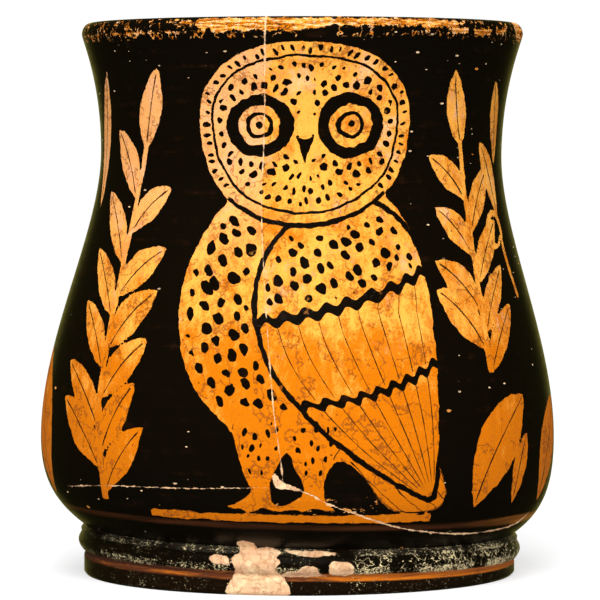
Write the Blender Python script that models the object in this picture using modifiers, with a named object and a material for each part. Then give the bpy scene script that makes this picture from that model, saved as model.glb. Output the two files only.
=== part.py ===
"""Small wheel-thrown mug of fired clay, black-glossed with a reserved picture, as one solid.

Body, ring foot and strap handle were joined before firing, so they are one piece. Metres, +Z up. The origin is the
centre of the resting ring on the table plane, -Y faces the picture and +Y the handle.
"""

import math

import bmesh
import bpy
import numpy as np
from mathutils import Vector
from mathutils.geometry import interpolate_bezier

# Heights over the table plane and outer radii of the turned body
MUG_HEIGHT = 0.0880
LIP_RADIUS = 0.0353
LIP_DROP = 0.0018
THROAT_RADIUS = 0.0321
THROAT_HEIGHT = 0.0672
BELLY_RADIUS = 0.0412
BELLY_HEIGHT = 0.0218
UNDERCUT_RADIUS = 0.0344
UNDERCUT_HEIGHT = 0.0072

# How far each stretch of the outline runs straight before it bends
LIP_RUN = 0.0008
THROAT_RUN_UP = 0.0112
THROAT_RUN_DOWN = 0.0126
BELLY_RUN_UP = 0.0160
BELLY_RUN_DOWN = 0.0079
UNDERCUT_RUN_OUT = 0.0043
UNDERCUT_RUN_UP = 0.0031

# Clay thickness
LIP_WALL = 0.0028
WALL = 0.0030
FLOOR = 0.0058
FLOOR_CORNER_RUN = 0.0072

# Ring foot: a narrow collar, a broad torus, a groove left in bare clay and a plain base
COLLAR_HEIGHT = 0.0011
COLLAR_BULGE = 0.0004
TORUS_RADIUS = 0.0349
TORUS_HEIGHT = 0.0027
TORUS_BULGE = 0.0006
GROOVE_HEIGHT = 0.0009
GROOVE_DEPTH = 0.0005
BASE_RADIUS = 0.0346
BASE_CHAMFER = 0.0004

# Underside: a resting ring, a shallow turned channel and a flat middle level with the ring
RESTING_RING_WIDTH = 0.0062
CHANNEL_WIDTH = 0.0054
CHANNEL_DEPTH = 0.0011
CHANNEL_SLOPE = 0.0010

# Strap handle on the back
STRAP_WIDTH = 0.0110
STRAP_THICKNESS = 0.0052
HANDLE_TOP_HEIGHT = 0.0755
HANDLE_BOTTOM_HEIGHT = 0.0430
HANDLE_REACH = 0.0190
HANDLE_TOP_RISE = 0.0004
HANDLE_TOP_RUN = 0.0090
HANDLE_BACK_RUN = 0.0095
HANDLE_BOTTOM_RUN = 0.0080
ROOT_FLARE = 1.22
ROOT_DEPTH = 0.0022

# Hand-thrown irregularity: the axis wanders sideways, and the body sits a little askew on its foot
BELLY_DRIFT = -0.0003
RIM_DRIFT = 0.0008
ASKEW_SLOPE = 0.021

WHEEL_STEPS = 72
OUTLINE_STEPS = 7
BEAD_STEPS = 3
LIP_STEPS = 5
STRAP_STEPS = 9
STRAP_ROUND_STEPS = 2
WELD_DISTANCE = 1e-6

GLOSS_COLOUR = (0.012, 0.008, 0.006, 1.0)
GLOSS_ROUGHNESS = 0.3


def clear_scene():
    for leftover in list(bpy.data.objects):
        bpy.data.objects.remove(leftover)


def collection(name, hidden=False):
    made = bpy.data.collections.new(name)
    bpy.context.scene.collection.children.link(made)
    made.hide_render = hidden
    return made


def bend(start, start_handle, end_handle, end, steps=OUTLINE_STEPS):
    """Points (radius, height) along one smooth stretch of an outline, without its last point."""
    corners = [Vector((x, z, 0.0)) for x, z in (start, start_handle, end_handle, end)]
    return [(p.x, p.y) for p in interpolate_bezier(*corners, steps + 1)][:-1]


def bead(top, bottom, bulge, steps=BEAD_STEPS):
    """Points down a rounded moulding from top to bottom, without its last point."""
    points = []
    for step in range(steps):
        share = step / steps
        radius = top[0] + (bottom[0] - top[0]) * share + bulge * math.sin(math.pi * share)
        height = top[1] + (bottom[1] - top[1]) * share
        points.append((radius, height))
    return points


def lip_edge():
    """The rounded lip, from the inside over the top to the outside, without its last point."""
    middle = LIP_RADIUS - LIP_WALL / 2
    springing = MUG_HEIGHT - LIP_DROP
    points = []
    for step in range(LIP_STEPS):
        turn = math.pi * (1 - step / LIP_STEPS)
        points.append((middle + LIP_WALL / 2 * math.cos(turn), springing + LIP_DROP * math.sin(turn)))
    return points


def outer_wall():
    """The outside, from the lip's widest point down to the undercut, without its last point."""
    lip = (LIP_RADIUS, MUG_HEIGHT - LIP_DROP)
    throat = (THROAT_RADIUS, THROAT_HEIGHT)
    belly = (BELLY_RADIUS, BELLY_HEIGHT)
    undercut = (UNDERCUT_RADIUS, UNDERCUT_HEIGHT)
    neck = bend(lip, (lip[0], lip[1] - LIP_RUN), (throat[0], throat[1] + THROAT_RUN_UP), throat)
    shoulder = bend(throat, (throat[0], throat[1] - THROAT_RUN_DOWN), (belly[0], belly[1] + BELLY_RUN_UP), belly)
    under = bend(
        belly,
        (belly[0], belly[1] - BELLY_RUN_DOWN),
        (undercut[0] + UNDERCUT_RUN_OUT, undercut[1] + UNDERCUT_RUN_UP),
        undercut,
    )
    return neck + shoulder + under


def foot():
    """The ring foot, from the undercut down and under to the middle of the underside."""
    undercut = (UNDERCUT_RADIUS, UNDERCUT_HEIGHT)
    torus_top = (TORUS_RADIUS, undercut[1] - COLLAR_HEIGHT)
    torus_bottom = (TORUS_RADIUS, torus_top[1] - TORUS_HEIGHT)
    groove_bottom = torus_bottom[1] - GROOVE_HEIGHT
    channel_outside = BASE_RADIUS - RESTING_RING_WIDTH
    channel_inside = channel_outside - CHANNEL_WIDTH
    points = bead(undercut, torus_top, COLLAR_BULGE) + bead(torus_top, torus_bottom, TORUS_BULGE)
    points += [
        torus_bottom,
        (TORUS_RADIUS - GROOVE_DEPTH, torus_bottom[1] - GROOVE_HEIGHT / 4),
        (TORUS_RADIUS - GROOVE_DEPTH, groove_bottom + GROOVE_HEIGHT / 4),
        (BASE_RADIUS, groove_bottom),
        (BASE_RADIUS, BASE_CHAMFER),
        (BASE_RADIUS - BASE_CHAMFER, 0.0),
        (channel_outside, 0.0),
        (channel_outside - CHANNEL_SLOPE, CHANNEL_DEPTH),
        (channel_inside + CHANNEL_SLOPE, CHANNEL_DEPTH),
        (channel_inside, 0.0),
        (0.0, 0.0),
    ]
    return points


def inner_wall():
    """The inside, from the middle of the floor up to the lip, without its last point."""
    belly = (BELLY_RADIUS - WALL, BELLY_HEIGHT)
    throat = (THROAT_RADIUS - WALL, THROAT_HEIGHT)
    lip = (LIP_RADIUS - LIP_WALL, MUG_HEIGHT - LIP_DROP)
    floor_edge = (UNDERCUT_RADIUS - WALL - FLOOR_CORNER_RUN, FLOOR)
    corner = bend(
        floor_edge,
        (floor_edge[0] + FLOOR_CORNER_RUN, FLOOR),
        (belly[0], belly[1] - BELLY_RUN_DOWN),
        belly,
    )
    shoulder = bend(belly, (belly[0], belly[1] + BELLY_RUN_UP), (throat[0], throat[1] - THROAT_RUN_DOWN), throat)
    neck = bend(throat, (throat[0], throat[1] + THROAT_RUN_UP), (lip[0], lip[1] - LIP_RUN), lip)
    return [(0.0, FLOOR)] + corner + shoulder + neck


def thrown_body():
    """The mug without its handle: one closed outline turned round the axis."""
    outline = inner_wall() + lip_edge() + outer_wall() + foot()
    half_section = bpy.data.meshes.new("half_section")
    half_section.from_pydata([(r, 0.0, z) for r, z in outline], [(n, n + 1) for n in range(len(outline) - 1)], [])
    section = bpy.data.objects.new("half_section", half_section)
    bpy.context.scene.collection.objects.link(section)
    wheel = section.modifiers.new("wheel", "SCREW")
    wheel.angle = math.tau
    wheel.steps = wheel.render_steps = WHEEL_STEPS
    wheel.use_merge_vertices = True
    wheel.merge_threshold = WELD_DISTANCE
    body = as_mesh(section)
    section_data = section.data
    bpy.data.objects.remove(section)
    bpy.data.meshes.remove(section_data)
    return body


def as_mesh(source):
    """The evaluated mesh of an object in world space, with its seams welded."""
    bpy.context.view_layer.update()
    mesh = bpy.data.meshes.new_from_object(source.evaluated_get(bpy.context.evaluated_depsgraph_get()))
    mesh.transform(source.matrix_world)
    work = bmesh.new()
    work.from_mesh(mesh)
    bmesh.ops.remove_doubles(work, verts=work.verts, dist=WELD_DISTANCE)
    bmesh.ops.recalc_face_normals(work, faces=work.faces)
    work.to_mesh(mesh)
    work.free()
    return mesh


def eased(heights, low, high):
    """0 below low, 1 above high and a smooth rise between them."""
    share = np.clip((heights - low) / (high - low), 0.0, 1.0)
    return share * share * (3 - 2 * share)


def hand_throw(mesh):
    """Gives a true turned mesh the potter's wander and sets the body askew on its level foot."""
    points = np.empty(len(mesh.vertices) * 3)
    mesh.vertices.foreach_get("co", points)
    points = points.reshape(-1, 3)
    height = points[:, 2].copy()
    askew = eased(height, 0.0, UNDERCUT_HEIGHT / 2) * (1 - eased(height, UNDERCUT_HEIGHT, BELLY_HEIGHT))
    points[:, 2] -= ASKEW_SLOPE * points[:, 0] * askew
    points[:, 0] += BELLY_DRIFT * eased(height, UNDERCUT_HEIGHT, BELLY_HEIGHT)
    points[:, 0] += RIM_DRIFT * eased(height, BELLY_HEIGHT, MUG_HEIGHT)
    mesh.vertices.foreach_set("co", points.ravel())
    mesh.update()


def wall_radius(height):
    """Outer radius of the body at a height between the undercut and the lip."""
    outline = sorted((z, r) for r, z in outer_wall())
    return float(np.interp(height, [z for z, _ in outline], [r for _, r in outline]))


def wall_drift(height):
    """Sideways wander of the body's axis at a height above the belly."""
    return BELLY_DRIFT + RIM_DRIFT * float(eased(np.array(height), BELLY_HEIGHT, MUG_HEIGHT))


def strap_handle():
    """The handle: a rounded strap bent in the plane of the axis, its roots sunk in the wall."""
    path = bpy.data.curves.new("strap_path", "CURVE")
    path.dimensions = "3D"
    path.twist_mode = "Z_UP"
    path.fill_mode = "FULL"
    path.use_fill_caps = True
    path.bevel_depth = STRAP_THICKNESS / 2
    path.extrude = (STRAP_WIDTH - STRAP_THICKNESS) / 2
    path.bevel_resolution = STRAP_ROUND_STEPS
    path.resolution_u = STRAP_STEPS
    out, up = Vector((1.0, 0.0, 0.0)), Vector((0.0, 1.0, 0.0))
    lean = (wall_radius(HANDLE_BOTTOM_HEIGHT - STRAP_THICKNESS) - wall_radius(HANDLE_BOTTOM_HEIGHT)) / STRAP_THICKNESS
    square = (out + up * lean).normalized()
    top = out * (wall_radius(HANDLE_TOP_HEIGHT) - ROOT_DEPTH) + up * HANDLE_TOP_HEIGHT
    bottom = out * wall_radius(HANDLE_BOTTOM_HEIGHT) + up * HANDLE_BOTTOM_HEIGHT - square * ROOT_DEPTH
    middle = (HANDLE_TOP_HEIGHT + HANDLE_BOTTOM_HEIGHT) / 2
    back = out * (THROAT_RADIUS + HANDLE_REACH) + up * middle
    knots = [
        (top, top, top + out * HANDLE_TOP_RUN + up * HANDLE_TOP_RISE, ROOT_FLARE),
        (back, back + up * HANDLE_BACK_RUN, back - up * HANDLE_BACK_RUN, 1.0),
        (bottom, bottom + square * HANDLE_BOTTOM_RUN, bottom, ROOT_FLARE),
    ]
    spline = path.splines.new("BEZIER")
    spline.bezier_points.add(len(knots) - 1)
    for point, (place, before, after, flare) in zip(spline.bezier_points, knots):
        point.handle_left_type = point.handle_right_type = "FREE"
        point.co = place
        point.handle_left = before
        point.handle_right = after
        point.radius = flare
    strap = bpy.data.objects.new("strap_path", path)
    bpy.context.scene.collection.objects.link(strap)
    strap.location.x = wall_drift(middle)
    strap.rotation_euler = (math.pi / 2, 0.0, math.pi / 2)
    mesh = as_mesh(strap)
    bpy.data.objects.remove(strap)
    bpy.data.curves.remove(path)
    return mesh


def gloss():
    """Black gloss over fired clay."""
    material = bpy.data.materials.new("black_gloss")
    material.use_nodes = True
    shader = material.node_tree.nodes["Principled BSDF"]
    shader.inputs["Base Color"].default_value = GLOSS_COLOUR
    shader.inputs["Roughness"].default_value = GLOSS_ROUGHNESS
    shader.inputs["Metallic"].default_value = 0.0
    return material


def main():
    clear_scene()
    parts = collection("red_figure_vase")
    stock = collection("joined_stock", hidden=True)

    body = thrown_body()
    hand_throw(body)
    body.name = "vase"
    body.materials.append(gloss())
    body.shade_smooth()
    body.set_sharp_from_angle(angle=math.radians(40))
    vase = bpy.data.objects.new("vase", body)
    parts.objects.link(vase)

    strap = bpy.data.objects.new("strap_stock", strap_handle())
    strap.data.shade_smooth()
    strap.hide_render = True
    strap.display_type = "WIRE"
    stock.objects.link(strap)

    luting = vase.modifiers.new("luting", "BOOLEAN")
    luting.operation = "UNION"
    luting.solver = "EXACT"
    luting.object = strap


main()
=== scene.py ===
"""Red-figure mug: black gloss over fired clay, with an owl between two olive sprigs left in the bare clay.

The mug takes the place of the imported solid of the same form. It is thrown as one skin, from the floor inside
over the lip, down the outer wall and under the foot, with the strap handle drawn out of two openings in the
back of the wall. The picture is worked out as distances to its outlines, kept on the mesh as attributes, and
the materials turn them into edges.
"""

import math

import bmesh
import bpy
import numpy as np
from bpy.props import FloatProperty, FloatVectorProperty, PointerProperty
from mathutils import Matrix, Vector
from mathutils.geometry import interpolate_bezier


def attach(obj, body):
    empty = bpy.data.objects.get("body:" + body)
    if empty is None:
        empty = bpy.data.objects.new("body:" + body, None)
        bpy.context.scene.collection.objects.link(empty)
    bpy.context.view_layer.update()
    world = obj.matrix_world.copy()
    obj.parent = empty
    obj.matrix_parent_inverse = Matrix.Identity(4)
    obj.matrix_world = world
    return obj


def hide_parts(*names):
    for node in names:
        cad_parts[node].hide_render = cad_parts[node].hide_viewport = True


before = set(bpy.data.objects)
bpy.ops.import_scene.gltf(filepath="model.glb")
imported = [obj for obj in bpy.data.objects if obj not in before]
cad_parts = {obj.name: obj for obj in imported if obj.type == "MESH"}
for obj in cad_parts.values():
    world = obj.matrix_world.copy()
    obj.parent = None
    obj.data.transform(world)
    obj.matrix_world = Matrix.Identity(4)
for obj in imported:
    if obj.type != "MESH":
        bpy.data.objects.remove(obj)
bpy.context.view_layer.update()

bl_info = {
    "name": "Red-figure mug",
    "version": (1, 0, 0),
    "blender": (4, 5, 0),
    "location": "View3D > Sidebar > Red-figure mug",
    "description": "Wheel-thrown mug with black gloss and a reserved picture, fitted to its packed solid",
    "category": "Object",
}

MM = 0.001

# How far each stretch of the outline runs straight before it bends, in metres as in the solid
LIP_RUN = 0.0008
THROAT_RUN_UP = 0.0112
THROAT_RUN_DOWN = 0.0126
BELLY_RUN_UP = 0.0160
BELLY_RUN_DOWN = 0.0079
UNDERCUT_RUN_OUT = 0.0043
UNDERCUT_RUN_UP = 0.0031
FLOOR_CORNER_RUN = 0.0072

# Mouldings of the foot
COLLAR_HEIGHT = 0.0011
COLLAR_BULGE = 0.0004
TORUS_HEIGHT = 0.0027
TORUS_BULGE = 0.0006
GROOVE_HEIGHT = 0.0009
GROOVE_DEPTH = 0.0005
BASE_CHAMFER = 0.0004
RESTING_RING_WIDTH = 0.0062
CHANNEL_WIDTH = 0.0054
CHANNEL_DEPTH = 0.0011
CHANNEL_SLOPE = 0.0010

# Course of the handle
HANDLE_TOP_RISE = 0.0004
HANDLE_TOP_RUN = 0.0090
HANDLE_BACK_RUN = 0.0095
HANDLE_BOTTOM_RUN = 0.0080
ROOT_FLARE = 1.22
LUTING_FILLET = 0.0017
FILLET_SHARES = (0.0, 0.08, 0.22, 0.42, 0.68, 1.0, 1.45)
HUGGING_FILLETS = 3.2
STRAP_SQUARENESS = 2.5

# The potter's wander, as in the solid
BELLY_DRIFT = -0.0003
RIM_DRIFT = 0.0008
ASKEW_SLOPE = 0.021

# Spacing of the skin's rings and columns
OUTLINE_SPACING = 0.00047
FOOT_SPACING = 0.00030
LIP_SPACING = 0.00032
INSIDE_SPACING = 0.0040
UNDERSIDE_SPACING = 0.0035
FRONT_HALF_TURN = math.radians(95.0)
GORES = 10
FRONT_COLUMNS = 25
BACK_COLUMNS = 12
ROOT_COLUMNS = 20
ROOT_ROWS = 22
STRAP_SPACING = 0.0011
WELD_DISTANCE = 1e-6

# Material slots of the mug
PAINTED, INSIDE, FOOT, UNDERSIDE = range(4)


def metres(name, description, default):
    """A length that a user may change."""
    return FloatProperty(name=name, description=description, default=default, unit="LENGTH")


def watts(name, description, default):
    """A light's power that a user may change."""
    return FloatProperty(name=name, description=description, default=default, unit="POWER")


def amount(name, description, default):
    """A plain number that a user may change."""
    return FloatProperty(name=name, description=description, default=default)


def pigment(name, description, default):
    """A colour that a user may change."""
    return FloatVectorProperty(
        name=name, description=description, default=default, subtype="COLOR", size=4, min=0.0, max=1.0)


class MugSizes(bpy.types.PropertyGroup):
    """Sizes of the mug; each default is the solid's own."""

    height: metres("Height", "Table to the top of the lip", 0.0880)
    lip_radius: metres("Lip radius", "Outside, at its widest", 0.0353)
    lip_drop: metres("Lip drop", "Top of the lip to its widest point", 0.0018)
    lip_wall: metres("Lip wall", "Clay thickness at the lip", 0.0028)
    throat_radius: metres("Throat radius", "Narrowest outside", 0.0321)
    throat_height: metres("Throat height", "Height of the throat", 0.0672)
    belly_radius: metres("Belly radius", "Widest outside", 0.0412)
    belly_height: metres("Belly height", "Height of the belly", 0.0218)
    undercut_radius: metres("Undercut radius", "Where wall meets foot", 0.0344)
    undercut_height: metres("Undercut height", "Height of the foot", 0.0072)
    wall: metres("Wall", "Clay thickness of the wall", 0.0030)
    floor: metres("Floor", "Height of the floor inside", 0.0058)
    torus_radius: metres("Torus radius", "Foot moulding", 0.0349)
    base_radius: metres("Base radius", "Outer edge of the foot", 0.0346)
    strap_width: metres("Strap width", "Handle, side to side", 0.0110)
    strap_thickness: metres("Strap thickness", "Handle, in and out", 0.0052)
    handle_top: metres("Handle top", "Height of the upper root", 0.0755)
    handle_bottom: metres("Handle bottom", "Height of the lower root", 0.0430)
    handle_reach: metres("Handle reach", "Throat to the strap's middle", 0.0190)


class MugFinish(bpy.types.PropertyGroup):
    """Colours of the clay, the gloss and what age has left on them."""

    clay: pigment("Clay", "Reserved clay under the painter's wash", (0.88, 0.385, 0.055, 1.0))
    deep_clay: pigment("Deep clay", "Where the wash is thick", (0.61, 0.155, 0.001, 1.0))
    pale_clay: pigment("Pale clay", "Where the wash is rubbed away", (0.93, 0.50, 0.23, 1.0))
    gloss: pigment("Gloss", "Black gloss", (0.0034, 0.0020, 0.0007, 1.0))
    thin_gloss: pigment("Thin gloss", "Gloss brushed thin, red-brown", (0.064, 0.017, 0.004, 1.0))
    fill: pigment("Fill", "Pinkish plaster of the repairs", (0.80, 0.47, 0.26, 1.0))
    cream: pigment("Cream", "Paler plaster of the repairs", (0.90, 0.63, 0.36, 1.0))
    scuff: pigment("Scuff", "Chalky scratches and crumbs", (0.84, 0.68, 0.36, 1.0))
    gloss_roughness: FloatProperty(
        name="Gloss roughness", description="Smoothness of the gloss", default=0.30, min=0.0, max=1.0)
    clay_roughness: FloatProperty(
        name="Clay roughness", description="Smoothness of the bare clay", default=0.62, min=0.0, max=1.0)


WHITE = 1.02
SHEEN_TINT = (1.0, 0.91, 0.20, 1.0)

# Soft lights: place, width and whether the gloss mirrors them
LIGHTS = {
    "key": ((-0.06, -0.82, 0.70), 0.7, False),
    "back": ((0.25, 0.95, 0.60), 0.7, False),
    "top": ((-0.05, -0.28, 0.70), 0.45, True),
}
LIGHTS_AIM = Vector((0.0, 0.0, 0.045))
SENSOR_WIDTH = 36.0
FLOOR_WHITE_NEAR = 0.55
FLOOR_WHITE_GAIN = 0.45


class MugStage(bpy.types.PropertyGroup):
    """Camera, floor and lights."""

    distance: metres("Distance", "Axis to camera", 0.600)
    eye_height: metres("Eye height", "Camera over the table", 0.067)
    aim_height: metres("Aim height", "Height looked at", 0.0437)
    lens: amount("Lens", "Focal length in millimetres", 224.1)
    sideways: metres("Sideways", "Camera right of the axis", 0.00012)
    floor_radius: metres("Floor radius", "Size of the pale floor", 0.60)
    floor_near: metres("Floor near", "Where it starts to melt away", 0.07)
    floor_glow: amount("Floor glow", "Light that the floor throws on the mug", 0.38)
    ambient: amount("Ambient", "Soft light from all round", 0.31)
    sheen: amount("Sheen", "Brightness of the room in the gloss", 0.026)
    wall_sheen: amount("Wall sheen", "Brightness of the wall behind in the gloss", 0.78)
    wall_edge: amount("Wall edge", "Cosine of the wall's half width", 0.895)
    key_power: watts("Key power", "Large soft light in watts", 14.6)
    back_power: watts("Back power", "Soft light behind in watts", 7.0)
    top_power: watts("Top power", "Light over the mug in watts", 2.0)


def sizes():
    return bpy.context.scene.mug_sizes


def bend(start, start_handle, end_handle, end, steps=60):
    """Points (radius, height) along one smooth stretch of an outline."""
    corners = [Vector((x, z, 0.0)) for x, z in (start, start_handle, end_handle, end)]
    return [(p.x, p.y) for p in interpolate_bezier(*corners, steps + 1)]


def bead(top, bottom, bulge, steps=16):
    """Points down a rounded moulding from top to bottom."""
    shares = np.arange(steps + 1) / steps
    line = np.outer(1 - shares, top) + np.outer(shares, bottom)
    line[:, 0] += bulge * np.sin(math.pi * shares)
    return [tuple(point) for point in line]


def spaced(points, spacing):
    """The same line with a point about every spacing along it, without its last point."""
    line = np.array(points)
    run = np.concatenate([[0.0], np.cumsum(np.hypot(*np.diff(line, axis=0).T))])
    steps = max(1, round(run[-1] / spacing))
    at = np.linspace(0.0, run[-1], steps + 1)
    return list(zip(np.interp(at, run, line[:, 0]), np.interp(at, run, line[:, 1])))[:-1]


def lip_edge():
    """The rounded lip, from the inside over the top to the outside."""
    mug = sizes()
    middle = mug.lip_radius - mug.lip_wall / 2
    springing = mug.height - mug.lip_drop
    turns = [math.pi * (1 - step / 24) for step in range(25)]
    return [(middle + mug.lip_wall / 2 * math.cos(t), springing + mug.lip_drop * math.sin(t)) for t in turns]


def down(point, run):
    """The point of an outline that lies straight under another."""
    return point[0], point[1] - run


def outer_wall():
    """The outside, from the lip's widest point down to the undercut."""
    mug = sizes()
    lip = (mug.lip_radius, mug.height - mug.lip_drop)
    throat = (mug.throat_radius, mug.throat_height)
    belly = (mug.belly_radius, mug.belly_height)
    undercut = (mug.undercut_radius, mug.undercut_height)
    neck = bend(lip, down(lip, LIP_RUN), down(throat, -THROAT_RUN_UP), throat)
    shoulder = bend(throat, down(throat, THROAT_RUN_DOWN), down(belly, -BELLY_RUN_UP), belly)
    entering = (undercut[0] + UNDERCUT_RUN_OUT, undercut[1] + UNDERCUT_RUN_UP)
    return neck[:-1] + shoulder[:-1] + bend(belly, down(belly, BELLY_RUN_DOWN), entering, undercut)


def inner_wall():
    """The inside, from the middle of the floor up to the lip."""
    mug = sizes()
    belly = (mug.belly_radius - mug.wall, mug.belly_height)
    throat = (mug.throat_radius - mug.wall, mug.throat_height)
    lip = (mug.lip_radius - mug.lip_wall, mug.height - mug.lip_drop)
    floor_edge = (mug.undercut_radius - mug.wall - FLOOR_CORNER_RUN, mug.floor)
    leaving = (floor_edge[0] + FLOOR_CORNER_RUN, mug.floor)
    corner = bend(floor_edge, leaving, down(belly, BELLY_RUN_DOWN), belly)
    shoulder = bend(belly, down(belly, -BELLY_RUN_UP), down(throat, THROAT_RUN_DOWN), throat)
    neck = bend(throat, down(throat, -THROAT_RUN_UP), down(lip, LIP_RUN), lip)
    return [(0.0, mug.floor)] + corner[:-1] + shoulder[:-1] + neck


def foot_levels():
    """Heights where the collar, the torus and the groove end, from the top."""
    collar_end = sizes().undercut_height - COLLAR_HEIGHT
    torus_end = collar_end - TORUS_HEIGHT
    return collar_end, torus_end, torus_end - GROOVE_HEIGHT


def foot_side():
    """The ring foot, from the undercut down to the edge of the resting ring."""
    mug = sizes()
    collar_end, torus_end, groove_end = foot_levels()
    torus_top = (mug.torus_radius, collar_end)
    torus_bottom = (mug.torus_radius, torus_end)
    collar = bead((mug.undercut_radius, mug.undercut_height), torus_top, COLLAR_BULGE)
    torus = bead(torus_top, torus_bottom, TORUS_BULGE)
    groove = [
        (mug.torus_radius - GROOVE_DEPTH, torus_end - GROOVE_HEIGHT / 4),
        (mug.torus_radius - GROOVE_DEPTH, groove_end + GROOVE_HEIGHT / 4),
        (mug.base_radius, groove_end),
        (mug.base_radius, BASE_CHAMFER),
        (mug.base_radius - BASE_CHAMFER, 0.0),
    ]
    return collar[:-1] + torus + groove


def underside():
    """Resting ring, shallow channel and level middle, from the edge to the axis."""
    edge = sizes().base_radius - BASE_CHAMFER
    channel_outside = sizes().base_radius - RESTING_RING_WIDTH
    channel_inside = channel_outside - CHANNEL_WIDTH
    return [
        (edge, 0.0),
        (channel_outside, 0.0),
        (channel_outside - CHANNEL_SLOPE, CHANNEL_DEPTH),
        (channel_inside + CHANNEL_SLOPE, CHANNEL_DEPTH),
        (channel_inside, 0.0),
        (0.0, 0.0),
    ]


def wall_rows():
    """Rows of the outer wall as an array of (radius, height), from the lip down."""
    return np.array(spaced(outer_wall(), OUTLINE_SPACING) + [outer_wall()[-1]])


WALL_LINE = []


def measure_wall():
    """Works the outer wall out once for each throw, because its radius is asked for many thousand times."""
    WALL_LINE[:] = np.array(outer_wall())[::-1].T


def wall_radius(height):
    """Outer radius of the wall at a height or an array of heights."""
    radii, heights = WALL_LINE
    return np.interp(height, heights, radii)


def skin_outline():
    """The mug's whole section, from the middle of the floor over the lip to the middle of the underside."""
    return (
        spaced(inner_wall(), INSIDE_SPACING)
        + spaced(lip_edge(), LIP_SPACING)
        + spaced(outer_wall(), OUTLINE_SPACING)
        + spaced(foot_side(), FOOT_SPACING)
        + spaced(underside(), UNDERSIDE_SPACING)
        + [(0.0, 0.0)]
    )


def turn_section(work, outline, start, sweep, gores, columns):
    """Sweeps the section through part of a turn: one gore of some columns, then that gore again and again."""
    gore_turn = sweep / gores
    ring = [work.verts.new((r * math.sin(start), -r * math.cos(start), z)) for r, z in outline]
    edges = [work.edges.new(pair) for pair in zip(ring[:-1], ring[1:])]
    before = set(work.faces)
    bmesh.ops.spin(
        work, geom=ring + edges, cent=(0.0, 0.0, 0.0), axis=(0.0, 0.0, 1.0), angle=gore_turn, steps=columns,
        use_merge=False, use_duplicate=False)
    faces = [face for face in work.faces if face not in before]
    verts = list({vert for face in faces for vert in face.verts})
    seams = list({edge for face in faces for edge in face.edges})
    bmesh.ops.spin(
        work, geom=verts + seams + faces, cent=(0.0, 0.0, 0.0), axis=(0.0, 0.0, 1.0), angle=sweep - gore_turn,
        steps=gores - 1, use_merge=False, use_duplicate=True)


def window(work, centre_row, rows, name):
    """Cuts an opening in the back of the wall; returns its edges, and its points by column and row."""
    half_rows = ROOT_ROWS // 2
    half_columns = ROOT_COLUMNS // 2
    column_turn = (math.tau - 2 * FRONT_HALF_TURN) / (GORES * BACK_COLUMNS)
    top = rows[centre_row - half_rows][1]
    bottom = rows[centre_row + half_rows][1]
    half_wall = sizes().wall / 2
    doomed = []
    for face in work.faces:
        middle = face.calc_center_median()
        if not (bottom < middle.z < top and middle.y > 0.0 and abs(middle.x) < middle.y):
            continue
        turn = math.atan2(middle.x, middle.y)
        outside = math.hypot(middle.x, middle.y) > float(wall_radius(middle.z)) - half_wall
        if outside and abs(turn) < half_columns * column_turn:
            doomed.append(face)
    bmesh.ops.delete(work, geom=doomed, context="FACES")
    rims = [edge for edge in work.edges if edge.is_boundary]
    edges = [edge for edge in rims if bottom - WELD_DISTANCE <= edge.verts[0].co.z <= top + WELD_DISTANCE]
    heights, numbers = rows[::-1, 1], np.arange(len(rows))[::-1]
    spots = {}
    for edge in edges:
        for vert in edge.verts:
            column = round(math.atan2(vert.co.x, vert.co.y) / column_turn)
            row = centre_row - round(float(np.interp(vert.co.z, heights, numbers)))
            spots[(column, row)] = vert
    if len(spots) != 2 * (ROOT_ROWS + ROOT_COLUMNS):
        raise RuntimeError(f"the {name} root's opening has {len(spots)} edge points")
    return edges, spots


def handle_course():
    """Stations down the middle of the strap: place, direction, distance from the nearer root and flare."""
    mug = sizes()
    out = Vector((0.0, 1.0, 0.0))
    up = Vector((0.0, 0.0, 1.0))
    step = mug.strap_thickness
    lean = float(wall_radius(mug.handle_bottom - step) - wall_radius(mug.handle_bottom)) / step
    square = (out + up * lean).normalized()
    top = out * float(wall_radius(mug.handle_top)) + up * mug.handle_top
    bottom = out * float(wall_radius(mug.handle_bottom)) + up * mug.handle_bottom
    back = out * (mug.throat_radius + mug.handle_reach) + up * (mug.handle_top + mug.handle_bottom) / 2
    upper = interpolate_bezier(
        top, top + out * HANDLE_TOP_RUN + up * HANDLE_TOP_RISE, back + up * HANDLE_BACK_RUN, back, 80)
    lower = interpolate_bezier(
        back, back - up * HANDLE_BACK_RUN, bottom + square * HANDLE_BOTTOM_RUN, bottom, 80)
    line = np.array([list(p) for p in upper[:-1] + lower])
    run = np.concatenate([[0.0], np.cumsum(np.linalg.norm(np.diff(line, axis=0), axis=1))])
    near = [share * LUTING_FILLET for share in FILLET_SHARES]
    middle_steps = round((run[-1] - 2 * near[-1]) / STRAP_SPACING)
    middle = list(np.linspace(near[-1], run[-1] - near[-1], middle_steps + 1)[1:-1])
    at = np.array(near + middle + [run[-1] - x for x in reversed(near)])
    places = np.column_stack([np.interp(at, run, line[:, n]) for n in range(3)])
    heading = np.gradient(line, axis=0)
    headings = np.column_stack([np.interp(at, run, heading[:, n]) for n in range(3)])
    headings /= np.linalg.norm(headings, axis=1)[:, None]
    from_root = np.minimum(at, run[-1] - at)
    flares = 1.0 + (ROOT_FLARE - 1.0) * np.abs(1 - 2 * at / run[-1])
    return places, headings, from_root, flares, out, square


def onto_wall(place, away):
    """The point of the wall met by going back from place against the direction away."""
    for _ in range(8):
        gap = math.hypot(place.x, place.y) - float(wall_radius(place.z))
        place = place - away * gap
    return place


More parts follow.
